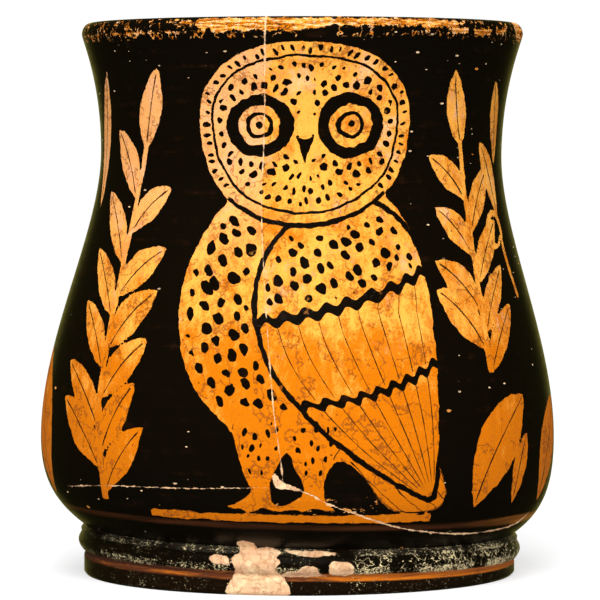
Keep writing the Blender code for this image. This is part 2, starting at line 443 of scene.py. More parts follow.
def strap_ring(place, heading, from_root, flare, away):
    """Corner rule of one section of the strap: a function from a spot on the unit square to its place."""
    mug = sizes()
    side = Vector((1.0, 0.0, 0.0))
    rise = side.cross(Vector(heading))
    short = max(0.0, 1.0 - from_root / LUTING_FILLET)
    spread = LUTING_FILLET * (1.0 - math.sqrt(max(0.0, 1.0 - short * short)))
    half_width = mug.strap_width / 2 * flare + spread
    half_thick = mug.strap_thickness / 2 * flare + spread
    share = min(1.0, from_root / (HUGGING_FILLETS * LUTING_FILLET))
    free = share * share * (3 - 2 * share)

    def spot(u, v):
        stretch = (abs(u) ** STRAP_SQUARENESS + abs(v) ** STRAP_SQUARENESS) ** (1 / STRAP_SQUARENESS)
        flat = Vector(place) + side * (half_width * u / stretch) + rise * (half_thick * v / stretch)
        if free >= 1.0:
            return flat
        hugging = onto_wall(flat - away * from_root, away) + away * from_root
        return hugging.lerp(flat, free)

    return spot


def row_at(rows, height):
    """Number of the wall's row nearest to a height."""
    return int(np.argmin(np.abs(rows[:, 1] - height)))


def draw_handle(work):
    """Pulls the strap out of the upper opening, ring by ring, and lutes it to the lower one."""
    rows = wall_rows()
    mug = sizes()
    edges, spots = window(work, row_at(rows, mug.handle_top), rows, "upper")
    _, lower_spots = window(work, row_at(rows, mug.handle_bottom), rows, "lower")
    places, headings, from_root, flares, out, square = handle_course()
    halves = (ROOT_COLUMNS / 2, ROOT_ROWS / 2)
    strap = bmesh.new()
    ring = {spot: strap.verts.new(vert.co) for spot, vert in spots.items()}
    named = {vert: ring[spot] for spot, vert in spots.items()}
    edges = [strap.edges.new([named[vert] for vert in edge.verts]) for edge in edges]
    for n in range(len(places) + 1):
        home = {tuple(vert.co): spot for spot, vert in ring.items()}
        made = bmesh.ops.extrude_edge_only(strap, edges=edges)["geom"]
        edges = [item for item in made if isinstance(item, bmesh.types.BMEdge) and len(item.link_faces) == 1]
        edges = [edge for edge in edges if all(tuple(vert.co) in home for vert in edge.verts)]
        ring = {home[tuple(vert.co)]: vert for vert in made if isinstance(vert, bmesh.types.BMVert)}
        if n < len(places):
            away = out if n < len(places) / 2 else square
            rule = strap_ring(places[n], headings[n], from_root[n], flares[n], away)
            for (column, row), vert in ring.items():
                vert.co = rule(column / halves[0], row / halves[1])
        else:
            for (column, row), vert in ring.items():
                vert.co = lower_spots[(column, -row)].co
    mesh = bpy.data.meshes.new("strap")
    strap.to_mesh(mesh)
    strap.free()
    work.from_mesh(mesh)
    bpy.data.meshes.remove(mesh)


def eased(values, low, high):
    """0 below low, 1 above high and a smooth rise between them."""
    share = np.clip((values - low) / (high - low), 0.0, 1.0)
    return share * share * (3 - 2 * share)


def hand_throw(points):
    """Gives the true turned skin the potter's wander and sets the body askew on its level foot."""
    mug = sizes()
    height = points[:, 2].copy()
    over_foot = eased(height, mug.undercut_height, mug.belly_height)
    askew = eased(height, 0.0, mug.undercut_height / 2) * (1 - over_foot)
    points[:, 2] -= ASKEW_SLOPE * points[:, 0] * askew
    points[:, 0] += BELLY_DRIFT * over_foot
    points[:, 0] += RIM_DRIFT * eased(height, mug.belly_height, mug.height)


def throw_skin():
    """The mug's mesh, true on the wheel, without the potter's wander."""
    measure_wall()
    work = bmesh.new()
    outline = skin_outline()
    turn_section(work, outline, -FRONT_HALF_TURN, 2 * FRONT_HALF_TURN, GORES, FRONT_COLUMNS)
    turn_section(work, outline, FRONT_HALF_TURN, math.tau - 2 * FRONT_HALF_TURN, GORES, BACK_COLUMNS)
    bmesh.ops.remove_doubles(work, verts=work.verts, dist=WELD_DISTANCE)
    draw_handle(work)
    bmesh.ops.remove_doubles(work, verts=work.verts, dist=WELD_DISTANCE)
    bmesh.ops.recalc_face_normals(work, faces=work.faces)
    mesh = bpy.data.meshes.new("red_figure_mug")
    work.to_mesh(mesh)
    work.free()
    return mesh


def points_of(mesh):
    flat = np.empty(len(mesh.vertices) * 3)
    mesh.vertices.foreach_get("co", flat)
    return flat.reshape(-1, 3)


def sort_faces(mesh):
    """Gives each face the material of its part of the mug."""
    mug = sizes()
    flat = np.empty(len(mesh.polygons) * 3)
    mesh.polygons.foreach_get("center", flat)
    middles = flat.reshape(-1, 3)
    radius = np.hypot(middles[:, 0], middles[:, 1])
    height = middles[:, 2]
    kinds = np.full(len(middles), PAINTED)
    kinds[(radius < wall_radius(height) - mug.wall / 2) & (height > mug.floor / 2 + CHANNEL_DEPTH)] = INSIDE
    foot = (height < mug.undercut_height) & (kinds != INSIDE)
    kinds[foot] = FOOT
    kinds[foot & (radius < mug.base_radius - BASE_CHAMFER) & (height < CHANNEL_DEPTH * 1.01)] = UNDERSIDE
    mesh.polygons.foreach_set("material_index", kinds.astype(np.int32))


# Distances in the picture are in millimetres on the unrolled wall: s to the right of the front, z up.
# The front's drawing ends at FRONT_ENDS radians from the front and the back's at BACK_ENDS from the back;
# a place that neither reaches is HIDDEN.
REACH = 3.0
FAR = -REACH
HIDDEN = 999.0
FRONT_ENDS = 1.95
BACK_ENDS = 1.70
SKIN_SLACK = 0.4
FOOT_SLACK = 0.1
OWL_HEAD = [
    (-15.4, 66.4), (-14.8, 72.4), (-10.4, 77.4), (-3.4, 79.6), (4.4, 79.6), (11.4, 77.4), (15.8, 72.4),
    (16.4, 66.2), (14.6, 59.6), (10.0, 54.8), (4.0, 52.2), (-2.6, 52.0), (-8.8, 54.4), (-13.4, 59.6)]
OWL_BODY = [
    (-10.0, 56.0), (-14.2, 51.0), (-17.2, 44.4), (-18.0, 37.0), (-16.4, 29.6), (-12.2, 23.8),
    (-6.4, 20.0), (1.0, 18.0), (8.0, 16.4), (13.0, 15.8), (17.6, 21.0), (19.6, 29.0), (19.8, 38.0),
    (18.4, 47.0), (14.4, 54.6), (7.0, 60.0), (-2.0, 61.0)]
WING_FRONT = [
    (2.6, 54.8), (-2.4, 51.2), (-5.6, 45.6), (-6.2, 38.4), (-3.8, 30.6), (1.4, 23.6), (8.0, 17.6),
    (14.6, 13.2), (19.6, 10.6)]
WING_BACK = [
    (8.6, 56.4), (13.6, 54.0), (17.4, 49.6), (19.8, 43.4), (21.0, 36.4), (21.6, 29.4), (21.8, 22.6),
    (21.4, 16.2), (20.6, 11.0)]
WING_TOP = np.array([5.0, 56.5])
WING_AXIS = np.array([14.0, -46.0])
BAR_SAG = 0.12
WING_BARS = ((0.31, 0.010), (0.60, 0.007))
WING_QUILLS = 9.0
OWL_TAIL = [
    (6.4, 19.6), (9.4, 14.6), (12.4, 10.4), (15.2, 8.9), (20.0, 9.0), (22.4, 10.4), (22.2, 14.0),
    (19.0, 19.0), (13.0, 23.0)]
OWL_LEG = [
    (-3.0, 12.0), (-3.4, 8.6), (-2.4, 4.8), (-1.1, 1.6), (-0.8, -0.2), (0.9, -0.4), (1.4, 1.8),
    (2.8, 5.4), (4.8, 9.4), (3.0, 12.0)]
FRONT_HEEL = (-5.6, 11.0)
BACK_HEEL = (2.1, 11.0)
TOES = [
    ((1.4, 1.4), (-4.9, -1.5), 1.9, 0.7), ((0.9, 1.2), (-1.9, -2.1), 1.7, 0.2),
    ((-0.8, 1.4), (3.3, -1.7), 1.7, -0.6)]
TOE_MELT = 0.9
LIMB_MELT = 0.8
LEG_MELT = 1.6
OWL_LIFT = 4.3
OWL_BREADTH = 1.05
EYE_MIDDLE = 0.5
EYE_SPREAD = 6.6
EYE_HEIGHT = 67.2
EYE_RING = (3.4, 4.9)
IRIS_RADIUS = 1.75
PUPIL_RADIUS = 0.55
BEAK_TOP = 65.0
BEAK_TIP = 61.6
BEAK_MIDDLE = 63.6
BEAK_ROOM = 1.9
FACE_MIDDLE = 66.0
FACE_DOTS = (1.7, 1.9)
LASH_DOTS = (1.85, 1.5)
LASHES = 21.0
RIM_DASHES = 62.0
RIM_DASH_PITCH = 1.5
BREAST_DOTS = (2.45, 2.7)
LEG_DOTS = (1.6, 2.0)
COVERT_DOTS = (2.2, 2.35)
TAIL_LINE_GAP = 1.9
GROUND_LEVEL = 12.2
GROUND_HALF = 0.6
GROUND_ENDS = (-24.0, 21.0)

# Sprigs: stem, pairs of leaves, leaf length and where the first pair starts
SPRIGS = [
    ([(-33.4, 13.7), (-34.4, 29.5), (-31.4, 48.5), (-27.0, 68.5)], 6, 14.4, 0.04),
    ([(33.6, 33.5), (31.2, 48.5), (28.0, 69.0)], 4, 13.4, 0.0),
]

# Single petals at the sides: foot, tip, width and sideways bow
SIDE_PETALS = [
    ((-41.8, 58.1), (-38.6, 80.1), 4.0, 0.6), ((-51.7, 12.9), (-57.2, 36.9), 9.8, 0.6),
    ((39.6, 65.5), (38.2, 78.9), 3.8, -0.4), ((39.6, 57.1), (33.6, 69.1), 4.2, -0.8),
    ((29.4, 13.3), (42.4, 29.9), 9.4, 1.2), ((39.0, 13.3), (43.2, 23.9), 3.8, 0.3),
    ((49.2, 12.9), (59.0, 28.9), 8.8, 1.0),
]
TENDRILS = [
    [(44.6, 44.5), (42.4, 48.5), (40.8, 52.1), (40.4, 55.3), (39.2, 57.4), (37.2, 57.9), (35.6, 56.7),
     (35.4, 54.5), (36.6, 52.9), (38.6, 52.9), (40.0, 54.3)],
]
TENDRIL_WIDTH = 0.9

# Palmette under the handle, in the same measure from the middle of the back
PALMETTE_HEART = (0.0, 14.6)
PALMETTE_PETALS = 9
PALMETTE_REACH = 18.4
PALMETTE_SPREAD = math.radians(17.5)
BACK_LEAVES = [
    ((24.0, 12.8), (31.0, 33.0), 7.6, -1.2), ((38.0, 12.8), (46.0, 31.0), 8.0, -1.2),
    ((52.0, 12.8), (57.0, 30.0), 7.4, -0.8), ((12.6, 52.0), (15.4, 72.0), 4.2, -0.6),
    ((20.6, 54.0), (29.6, 70.0), 4.6, -1.2), ((31.0, 60.0), (42.0, 71.0), 4.0, -1.0),
]

# Old breaks and their repairs
JOIN_LINE = [(-5.7, 96.0), (-5.7, 72.0), (-5.8, 56.0), (-3.8, 31.0), (-2.2, 18.4), (-1.6, 4.0)]
JOIN_FOOT = 17.7
ROUND_CRACK = [
    (-60.2, 14.5), (-46.2, 14.9), (-32.2, 16.1), (-16.2, 16.6), (-1.4, 16.9), (4.7, 14.5), (12.5, 11.7),
    (19.0, 10.1), (29.2, 9.2), (41.3, 9.7), (46.8, 11.3), (55.8, 14.5)]
CRACK_ENDS = (-44.0, 46.5)
WALL_FILLS = [
    [(-3.7, 19.7), (-3.4, 17.1), (-1.4, 16.8), (1.0, 16.4), (-1.0, 17.4), (-2.6, 18.2)],
]
FOOT_FILLS = [
    [(-9.7, 8.1), (-7.2, 8.1), (-6.4, 7.1), (-5.1, 7.3), (-3.4, 7.1), (-2.7, 6.6), (-3.3, 5.9),
     (-2.7, 5.1), (-3.5, 4.1), (-2.6, 3.0), (-1.8, 1.9), (-2.0, -0.2), (-10.8, -0.2), (-10.6, 2.1),
     (-9.7, 3.9), (-10.3, 5.5), (-8.9, 6.5)],
    [(-13.5, 5.8), (-11.0, 5.7), (-10.7, 4.5), (-13.3, 4.7)],
    [(4.8, 5.3), (7.8, 5.1), (8.0, 3.4), (4.7, 3.3)],
    [(-2.4, 7.0), (0.1, 6.9), (3.3, 7.0), (5.9, 6.5), (3.2, 6.1), (0.1, 6.2)],
    [(-2.4, 2.9), (-1.6, 3.9), (-0.4, 3.7), (0.7, 4.7), (2.6, 4.4), (3.0, 3.4), (4.1, 3.1)],
]

# Flakes lost from the lip: middle, height, half length and half height
RIM_FLAKES = [
    (20.0, 85.9, 0.4, 0.3), (27.3, 86.2, 2.2, 0.5), (32.3, 85.9, 2.0, 0.6), (37.6, 86.2, 1.6, 0.5),
    (47.5, 86.6, 3.4, 1.7), (-33.0, 85.7, 3.0, 0.05),
]


def smooth_line(corners, closed=False, steps=7):
    """A smooth line through the given points, open or closed."""
    c = np.array(corners, float)
    if closed:
        c = np.vstack([c[-1], c, c[0], c[1]])
    else:
        c = np.vstack([2 * c[0] - c[1], c, 2 * c[-1] - c[-2]])
    t = (np.arange(steps) / steps)[:, None]
    parts = []
    for a, b, d, e in zip(c[:-3], c[1:-2], c[2:-1], c[3:]):
        curve = 2 * b + (d - a) * t + (2 * a - 5 * b + 4 * d - e) * t ** 2 + (3 * b - a - 3 * d + e) * t ** 3
        parts.append(curve / 2)
    if not closed:
        parts.append(c[-2][None])
    return np.vstack(parts)


def to_line(places, line):
    """Distance from each place to a line of short segments, the share passed and the side it lies on."""
    best = np.full(len(places), 1e9)
    passed = np.zeros(len(places))
    side = np.ones(len(places))
    lengths = np.hypot(*np.diff(line, axis=0).T)
    before = np.concatenate([[0.0], np.cumsum(lengths)])
    for n, (start, end) in enumerate(zip(line[:-1], line[1:])):
        along = end - start
        away = places - start
        t = np.clip(away @ along / max(along @ along, 1e-12), 0.0, 1.0)
        gap = away - t[:, None] * along
        distance = np.hypot(gap[:, 0], gap[:, 1])
        nearer = distance < best
        best[nearer] = distance[nearer]
        passed[nearer] = (before[n] + t * lengths[n])[nearer] / before[-1]
        side[nearer] = np.where(along[0] * away[:, 1] - along[1] * away[:, 0] < 0.0, -1.0, 1.0)[nearer]
    return best, passed, side


def enclosed(places, loop):
    """True for each place inside a closed line."""
    crossed = np.zeros(len(places), bool)
    for a, b in zip(loop, np.roll(loop, -1, 0)):
        if a[1] == b[1]:
            continue
        spans = (a[1] > places[:, 1]) != (b[1] > places[:, 1])
        crossing = (b[0] - a[0]) * (places[:, 1] - a[1]) / (b[1] - a[1]) + a[0]
        crossed ^= spans & (places[:, 0] < crossing)
    return crossed


def region(places, loop):
    """Depth inside a closed line: positive inside, negative outside and cut off at REACH."""
    depth = np.full(len(places), FAR)
    near = np.all((places > loop.min(0) - REACH) & (places < loop.max(0) + REACH), axis=1)
    found = places[near]
    distance = to_line(found, np.vstack([loop, loop[:1]]))[0]
    depth[near] = np.maximum(np.where(enclosed(found, loop), distance, -distance), FAR)
    return depth


def beside(places, line):
    """Signed distance from an open line, for the places on the picture's side."""
    reach = np.full(len(places), REACH)
    near = places[:, 0] < HIDDEN
    found, _, side = to_line(places[near], line)
    reach[near] = np.minimum(found, REACH) * side
    return reach


def normals_of(line):
    heading = np.gradient(line, axis=0)
    return np.column_stack([-heading[:, 1], heading[:, 0]]) / np.hypot(heading[:, 0], heading[:, 1])[:, None]


def brush_stroke(line, start_width, end_width):
    """Outline of a stroke that changes width along a line."""
    half = np.linspace(start_width, end_width, len(line))[:, None] / 2
    return np.vstack([line + normals_of(line) * half, (line - normals_of(line) * half)[::-1]])


def leaf_shape(base, tip, width, bow=0.0, fullest=0.45, steps=14):
    """Outline and midrib of a pointed leaf that bows sideways."""
    base, tip = np.array(base, float), np.array(tip, float)
    run = tip - base
    side = np.array([-run[1], run[0]]) / np.hypot(*run)
    t = np.linspace(0.0, 1.0, steps + 1)[:, None]
    rib = base + run * t + side * bow * 4 * t * (1 - t)
    half = width / 2 * np.sin(math.pi * t ** (math.log(0.5) / math.log(fullest))) ** 0.8
    return np.vstack([rib + normals_of(rib) * half, (rib - normals_of(rib) * half)[-2:0:-1]]), rib


def sprig(stem, pairs, size, first):
    """Stem and leaves of an olive sprig: leaves in pairs and a single one at the top."""
    stem = smooth_line(stem, steps=12)
    outward = normals_of(stem)
    leaves = []
    for n in range(pairs):
        at = first + (0.93 - first) * n / pairs
        for side in (-1, 1):
            k = min(int(at * (len(stem) - 1)) + (3 if side > 0 else 0), len(stem) - 1)
            out = outward[k] * side
            up = np.array([outward[k][1], -outward[k][0]])
            length = size * (1.0 - 0.22 * n / pairs) * (1 + 0.07 * math.sin(5.1 * n + side))
            aim = out * 0.66 + up * (0.75 + 0.05 * math.sin(3.3 * n + 2 * side))
            aim /= np.hypot(*aim)
            base, tip = stem[k] + out * 0.35, stem[k] + aim * length
            leaves.append(leaf_shape(base, tip, length * 0.38, -side * length * 0.06, 0.5))
    up = np.array([outward[-1][1], -outward[-1][0]])
    leaves.append(leaf_shape(stem[-1] - up * 0.4, stem[-1] + up * size * 0.85, size * 0.34, 0.3))
    return brush_stroke(stem, 1.4, 0.8), leaves


def palmette():
    """Petals fanned round a heart, with two scrolls under it and a tendril over it."""
    heart = np.array(PALMETTE_HEART)
    petals = []
    for n in range(PALMETTE_PETALS):
        turn = (n - (PALMETTE_PETALS - 1) / 2) * PALMETTE_SPREAD
        aim = np.array([math.sin(turn), math.cos(turn)])
        reach = PALMETTE_REACH * (1.0 - 0.10 * abs(turn))
        petals.append(leaf_shape(heart + aim * 3.2, heart + aim * reach, 4.3, 0.25 * turn, 0.68))
    turns = np.linspace(-1.75, 1.75, 29)
    arc = heart + (PALMETTE_REACH + 2.6) * np.column_stack([np.sin(turns), np.cos(turns)])
    lines = [brush_stroke(arc, 0.9, 0.9)]
    for side in (-1, 1):
        turns = np.linspace(0.0, 4.6, 26)
        centre = heart + np.array([side * 6.2, -2.2])
        curl = [centre + (3.3 - 0.42 * t) * np.array([-side * math.cos(t), math.sin(t)]) for t in turns]
        lines.append(brush_stroke(np.array(curl), 1.0, 0.7))
    turns = np.linspace(0.0, math.tau, 25)[:-1]
    lines.append(heart + 2.1 * np.column_stack([np.cos(turns), np.sin(turns)]))
    return petals, lines


def melted(one, other, melt):
    """The union of two depths, with a fillet of the given size in the corner between them."""
    return np.maximum(one, other) + np.maximum(melt - np.abs(one - other), 0.0) ** 2 / (4 * melt)


class Picture:
    """Distances to every shape of the picture, one number of each kind for each point of the skin."""

    def __init__(self, front, back):
        self.front, self.back = front, back
        count = len(front)
        self.reserve = np.full(count, FAR)
        self.leaf = np.full(count, FAR)
        self.rib = np.full(count, REACH)

    def add(self, depth, melt=0.0):
        """Joins a shape to the picture, with a fillet of the given size in the corner between them."""
        self.reserve = melted(self.reserve, depth, melt) if melt else np.maximum(self.reserve, depth)
        return depth

    def add_leaf(self, places, shape):
        loop, midrib = shape
        depth = region(places, loop)
        near = depth > self.leaf
        if near.any():
            distance, _, side = to_line(places[near], midrib)
            self.rib[near] = np.minimum(distance, REACH) * side
        self.leaf = np.maximum(self.leaf, depth)

    def draw_owl(self):
        places = (self.front - (0.0, OWL_LIFT)) / (OWL_BREADTH, 1.0)
        self.head = self.add(region(places, smooth_line(OWL_HEAD, closed=True)))
        self.body = self.add(region(places, smooth_line(OWL_BODY, closed=True)), LIMB_MELT)
        self.tail = self.add(region(places, smooth_line(OWL_TAIL, closed=True)), LIMB_MELT)
        leading, trailing = smooth_line(WING_FRONT), smooth_line(WING_BACK)
        self.wing = self.add(region(places, np.vstack([leading, trailing[::-1]])))
        near = self.wing > -1.0
        from_leading = to_line(places[near], leading)[0]
        from_trailing = to_line(places[near], trailing)[0]
        share = from_leading / np.maximum(from_leading + from_trailing, 1e-6)
        self.across = np.zeros(len(places))
        self.span = np.ones(len(places))
        self.along = np.zeros(len(places))
        self.across[near] = share
        self.span[near] = from_leading + from_trailing
        down_wing = (places[near] - WING_TOP) @ WING_AXIS / (WING_AXIS @ WING_AXIS)
        self.along[near] = down_wing - BAR_SAG * share * (1 - share)
        legs = np.full(len(places), FAR)
        for heel in (FRONT_HEEL, BACK_HEEL):
            heel = np.array(heel)
            legs = np.maximum(legs, region(places, smooth_line(np.array(OWL_LEG) + heel, closed=True)))
            for start, end, width, bow in TOES:
                toe = region(places, leaf_shape(heel + start, heel + end, width, bow, 0.35)[0])
                legs = melted(legs, toe, TOE_MELT)
        self.legs = self.add(legs, LEG_MELT)

    def draw_plants(self):
        for stem, pairs, size, first in SPRIGS:
            stalk, leaves = sprig(stem, pairs, size, first)
            self.add(region(self.front, stalk))
            for leaf in leaves:
                self.add_leaf(self.front, leaf)
        for base, tip, width, bow in SIDE_PETALS:
            self.add_leaf(self.front, leaf_shape(base, tip, width, bow, 0.55))
        for line in TENDRILS:
            self.add(region(self.front, brush_stroke(smooth_line(line), TENDRIL_WIDTH, TENDRIL_WIDTH)))
        petals, lines = palmette()
        for side in (-1.0, 1.0):
            for base, tip, width, bow in BACK_LEAVES:
                base, tip = (side * base[0], base[1]), (side * tip[0], tip[1])
                petals.append(leaf_shape(base, tip, width, side * bow, 0.55))
        for petal in petals:
            self.add_leaf(self.back, petal)
        for line in lines:
            self.add(region(self.back, line))
        self.add(self.leaf)

    def draw_ground(self):
        s, z = self.front.T
        level = GROUND_HALF - np.abs(z - GROUND_LEVEL)
        self.add(np.maximum(np.minimum(level, np.minimum(s - GROUND_ENDS[0], GROUND_ENDS[1] - s)), FAR))


def rim_wear(s, z, radius):
    """Depth inside the rubbed band on the outside of the lip; it fades out towards both ends."""
    mug = sizes()
    lip_middle = (mug.lip_radius - mug.lip_wall / 2) / MM
    top = (mug.height - mug.lip_drop) / MM
    lowered = 0.75 * eased(-s, -6.0, 2.0) * eased(s, -19.0, -14.0)
    band = np.minimum(z - top - 0.35 + lowered, (radius - lip_middle - 0.75) * 1.6)
    fading = 1.0 * eased(s, 22.0, 32.0) + 0.8 * eased(-s, 13.0, 22.0) + 0.9 * eased(np.abs(s), 34.0, 60.0)
    band = band - fading
    for middle, height, half_length, half_height in RIM_FLAKES:
        flake = (1.0 - np.hypot((s - middle) / half_length, (z - height) / half_height)) * half_height
        band = np.maximum(band, flake)
    return np.maximum(band, FAR)


def paint_skin(mesh):
    """Keeps the picture, the repairs and the wear on the mesh for the materials; returns the worn points."""
    mug = sizes()
    points = points_of(mesh) / MM
    radius = np.hypot(points[:, 0], points[:, 1])
    z = points[:, 2]
    turn = np.arctan2(points[:, 0], -points[:, 1])
    girth = wall_radius(z * MM) / MM
    outside = (radius > girth - mug.wall / MM / 2) & (radius < girth + SKIN_SLACK)
    foot_edge = (mug.base_radius - BASE_CHAMFER) / MM - FOOT_SLACK
    outside |= (z < mug.undercut_height / MM) & (radius > foot_edge)
    behind = np.where(turn > 0.0, turn - math.pi, turn + math.pi)
    front = np.column_stack([turn * girth, z])
    front[~outside | (np.abs(turn) > FRONT_ENDS)] = HIDDEN
    back = np.column_stack([behind * girth, z])
    back[~outside | (np.abs(behind) > BACK_ENDS)] = HIDDEN
    picture = Picture(front, back)
    picture.draw_owl()
    picture.draw_plants()
    picture.draw_ground()
    join = beside(front, smooth_line(JOIN_LINE))
    crack = beside(front, smooth_line(ROUND_CRACK))
    fill = np.full(len(points), FAR)
    for loop in WALL_FILLS + FOOT_FILLS:
        fill = np.maximum(fill, region(front, smooth_line(loop, closed=True, steps=3)))
    rim = np.where(outside, rim_wear(turn * girth, z, radius), FAR)
    keep(mesh, "unrolled", turn * girth, z, np.abs(turn))
    keep(mesh, "owl", picture.reserve, picture.head, picture.wing)
    keep(mesh, "limbs", picture.body, picture.legs, picture.tail)
    keep(mesh, "feathers", picture.across, picture.span, picture.along)
    keep(mesh, "leaves", picture.leaf, picture.rib, rim)
    keep(mesh, "repairs", join, crack, fill)
    points[:, :2] *= (1.0 - worn_back(rim, fill, turn * girth, z) / np.maximum(radius, 1.0))[:, None]
    return points * MM


def worn_back(rim, fill, s, z):
    """How far the worn lip and the fills lie back from the sound surface, in millimetres."""
    uneven = 0.5 + 0.25 * np.sin(2.3 * s + 1.1 * z) + 0.25 * np.sin(5.1 * s - 0.7)
    lip = eased(rim, 0.0, 0.5) * (0.10 + 0.12 * uneven) + eased(rim, 0.5, 1.6) * 0.3
    return lip + eased(fill, 0.0, 0.4) * 0.12 * uneven


def keep(mesh, name, *columns):
    """Stores three numbers for each point of the mesh."""
    attribute = mesh.attributes.new(name, "FLOAT_VECTOR", "POINT")
    attribute.data.foreach_set("vector", np.column_stack(columns).astype(np.float32).ravel())


EDGE = 0.05
NEVER_ROUND = 1000.0
GLOSS_SPECULAR = 0.24
CLAY_SPECULAR = 0.05


class Signal:
    """The output of a node; arithmetic on it adds Math nodes to its tree."""

    def __init__(self, socket):
        self.socket = socket

    def math(self, operation, *others, clamp=False):
        return math_node(self.socket.id_data, operation, self, *others, clamp=clamp)

    def __add__(self, other):
        return self.math("ADD", other)

    def __sub__(self, other):
        return self.math("SUBTRACT", other)

    def __mul__(self, other):
        return self.math("MULTIPLY", other)

    def __truediv__(self, other):
        return self.math("DIVIDE", other)

    def __rsub__(self, other):
        return math_node(self.socket.id_data, "SUBTRACT", other, self)

    def __abs__(self):
        return self.math("ABSOLUTE")

    __radd__ = __add__
    __rmul__ = __mul__

    def fraction(self):
        return self.math("FRACT")

    def least(self, other):
        return self.math("MINIMUM", other)

    def most(self, other):
        return self.math("MAXIMUM", other)

    def within(self, edge=EDGE):
        """1 where the depth is over zero, 0 where it is under, with an edge of the given width."""
        return self.math("MULTIPLY_ADD", 1 / edge, 0.5, clamp=True)

    def rise(self, low, high):
        """0 below low, 1 above high and a smooth rise between them."""
        node = self.socket.id_data.nodes.new("ShaderNodeMapRange")
        node.interpolation_type = "SMOOTHSTEP"
        for value, entry in zip((self, low, high), node.inputs):
            plug(value, entry)
        return Signal(node.outputs[0])


def plug(value, entry):
    """Sets a socket to a number or colour, or links a signal to it."""
    if isinstance(value, Signal):
        entry.id_data.links.new(value.socket, entry)
    else:
        entry.default_value = value


def math_node(tree, operation, *values, clamp=False):
    node = tree.nodes.new("ShaderNodeMath")
    node.operation = operation
    node.use_clamp = clamp
    for value, entry in zip(values, node.inputs):
        plug(value, entry)
    return Signal(node.outputs[0])


def distance(across, up):
    """Length of the vector (across, up)."""
    return (across * across + up * up).math("SQRT")


def vector_node(tree, operation, *values):
    node = tree.nodes.new("ShaderNodeVectorMath")
    node.operation = operation
    for value, entry in zip(values, node.inputs):
        plug(value, entry)
    return Signal(node.outputs[0])


def mix_colour(share, under, over):
    """The colour over, laid on the colour under where the share is 1."""
    node = share.socket.id_data.nodes.new("ShaderNodeMix")
    node.data_type = "RGBA"
    plug(share, node.inputs[0])
    plug(under, node.inputs[6])
    plug(over, node.inputs[7])
    return Signal(node.outputs[2])


def apart(vector):
    """The three numbers of a vector or colour."""
    node = vector.socket.id_data.nodes.new("ShaderNodeSeparateXYZ")
    plug(vector, node.inputs[0])
    return [Signal(out) for out in node.outputs]


def place_in_mm(tree):
    node = tree.nodes.new("ShaderNodeTexCoord")
    return vector_node(tree, "MULTIPLY", Signal(node.outputs["Object"]), (1 / MM, 1 / MM, 1 / MM))


def kept(tree, name):
    """The three numbers that the mesh keeps under a name."""
    node = tree.nodes.new("ShaderNodeAttribute")
    node.attribute_name = name
    return apart(Signal(node.outputs["Vector"]))


def noise(place, scale, detail=2.0, roughness=0.5, stretch=(1.0, 1.0, 1.0), shift=0.0):
    """Soft noise from 0 to 1 with about the given number of waves a millimetre."""
    shifts = (shift, 1.7 * shift, 2.3 * shift)
    moved = vector_node(place.socket.id_data, "MULTIPLY_ADD", place, stretch, shifts)
    return Signal(noise_node(moved, scale, detail, roughness).outputs["Fac"])


def three_noises(place, scale, detail=2.0, roughness=0.5):
    """Three soft noises that share one node."""
    return apart(Signal(noise_node(place, scale, detail, roughness).outputs["Color"]))


def noise_node(place, scale, detail, roughness):
    node = place.socket.id_data.nodes.new("ShaderNodeTexNoise")
    for label, value in {"Vector": place, "Scale": scale, "Detail": detail, "Roughness": roughness}.items():
        plug(value, node.inputs[label])
    return node


def effect(name, inputs, outputs):
    """A new node group; an input is given as its kind, or as a number that is its default."""
    group = bpy.data.node_groups.new(name, "ShaderNodeTree")
    for label, given in inputs.items():
        kind = given if isinstance(given, str) else "Float"
        socket = group.interface.new_socket(name=label, in_out="INPUT", socket_type="NodeSocket" + kind)
        if kind != given:
            socket.default_value = given
    for label, kind in outputs.items():
        group.interface.new_socket(name=label, in_out="OUTPUT", socket_type="NodeSocket" + kind)
    entry = group.nodes.new("NodeGroupInput")
    leave = group.nodes.new("NodeGroupOutput")
    return group, [Signal(entry.outputs[label]) for label in inputs], leave.inputs


def use(tree, name, values):
    """Places an effect in a tree with its own values; returns its outputs."""
    node = tree.nodes.new("ShaderNodeGroup")
    node.node_tree = bpy.data.node_groups[name]
    for label, value in values.items():
        plug(value, node.inputs[label])
    return [Signal(out) for out in node.outputs]


def brush_dots_effect():
    """Rows of short brush marks, each a little off its place: depth inside the nearest in millimetres."""
    group, (across, up, pitch_across, pitch_up, radius, stretch, looseness, around), leave = effect(
        "brush_dots",
        {"Across": 0.0, "Up": 0.0, "Pitch Across": 2.0, "Pitch Up": 2.0, "Radius": 0.5, "Stretch": 1.3,
         "Looseness": 0.3, "Around": NEVER_ROUND},
        {"Depth": "Float"})
    lines = up / pitch_up
    row = lines.math("FLOOR")
    spots = across / pitch_across + row * 0.5
    column = spots.math("FLOOR")
    cell = group.nodes.new("ShaderNodeCombineXYZ")
    plug(column.math("WRAP", around, 0.0), cell.inputs[0])
    plug(row, cell.inputs[1])
    white = group.nodes.new("ShaderNodeTexWhiteNoise")
    group.links.new(cell.outputs[0], white.inputs["Vector"])
    off_across, off_up, weight = apart(Signal(white.outputs["Color"]))
    aside = (spots - column - 0.5 + (off_across - 0.5) * looseness) * pitch_across
    above = (lines - row - 0.5 + (off_up - 0.5) * looseness) * pitch_up
    plug(radius * (weight * 0.5 + 0.75) - distance(aside, above / stretch), leave["Depth"])


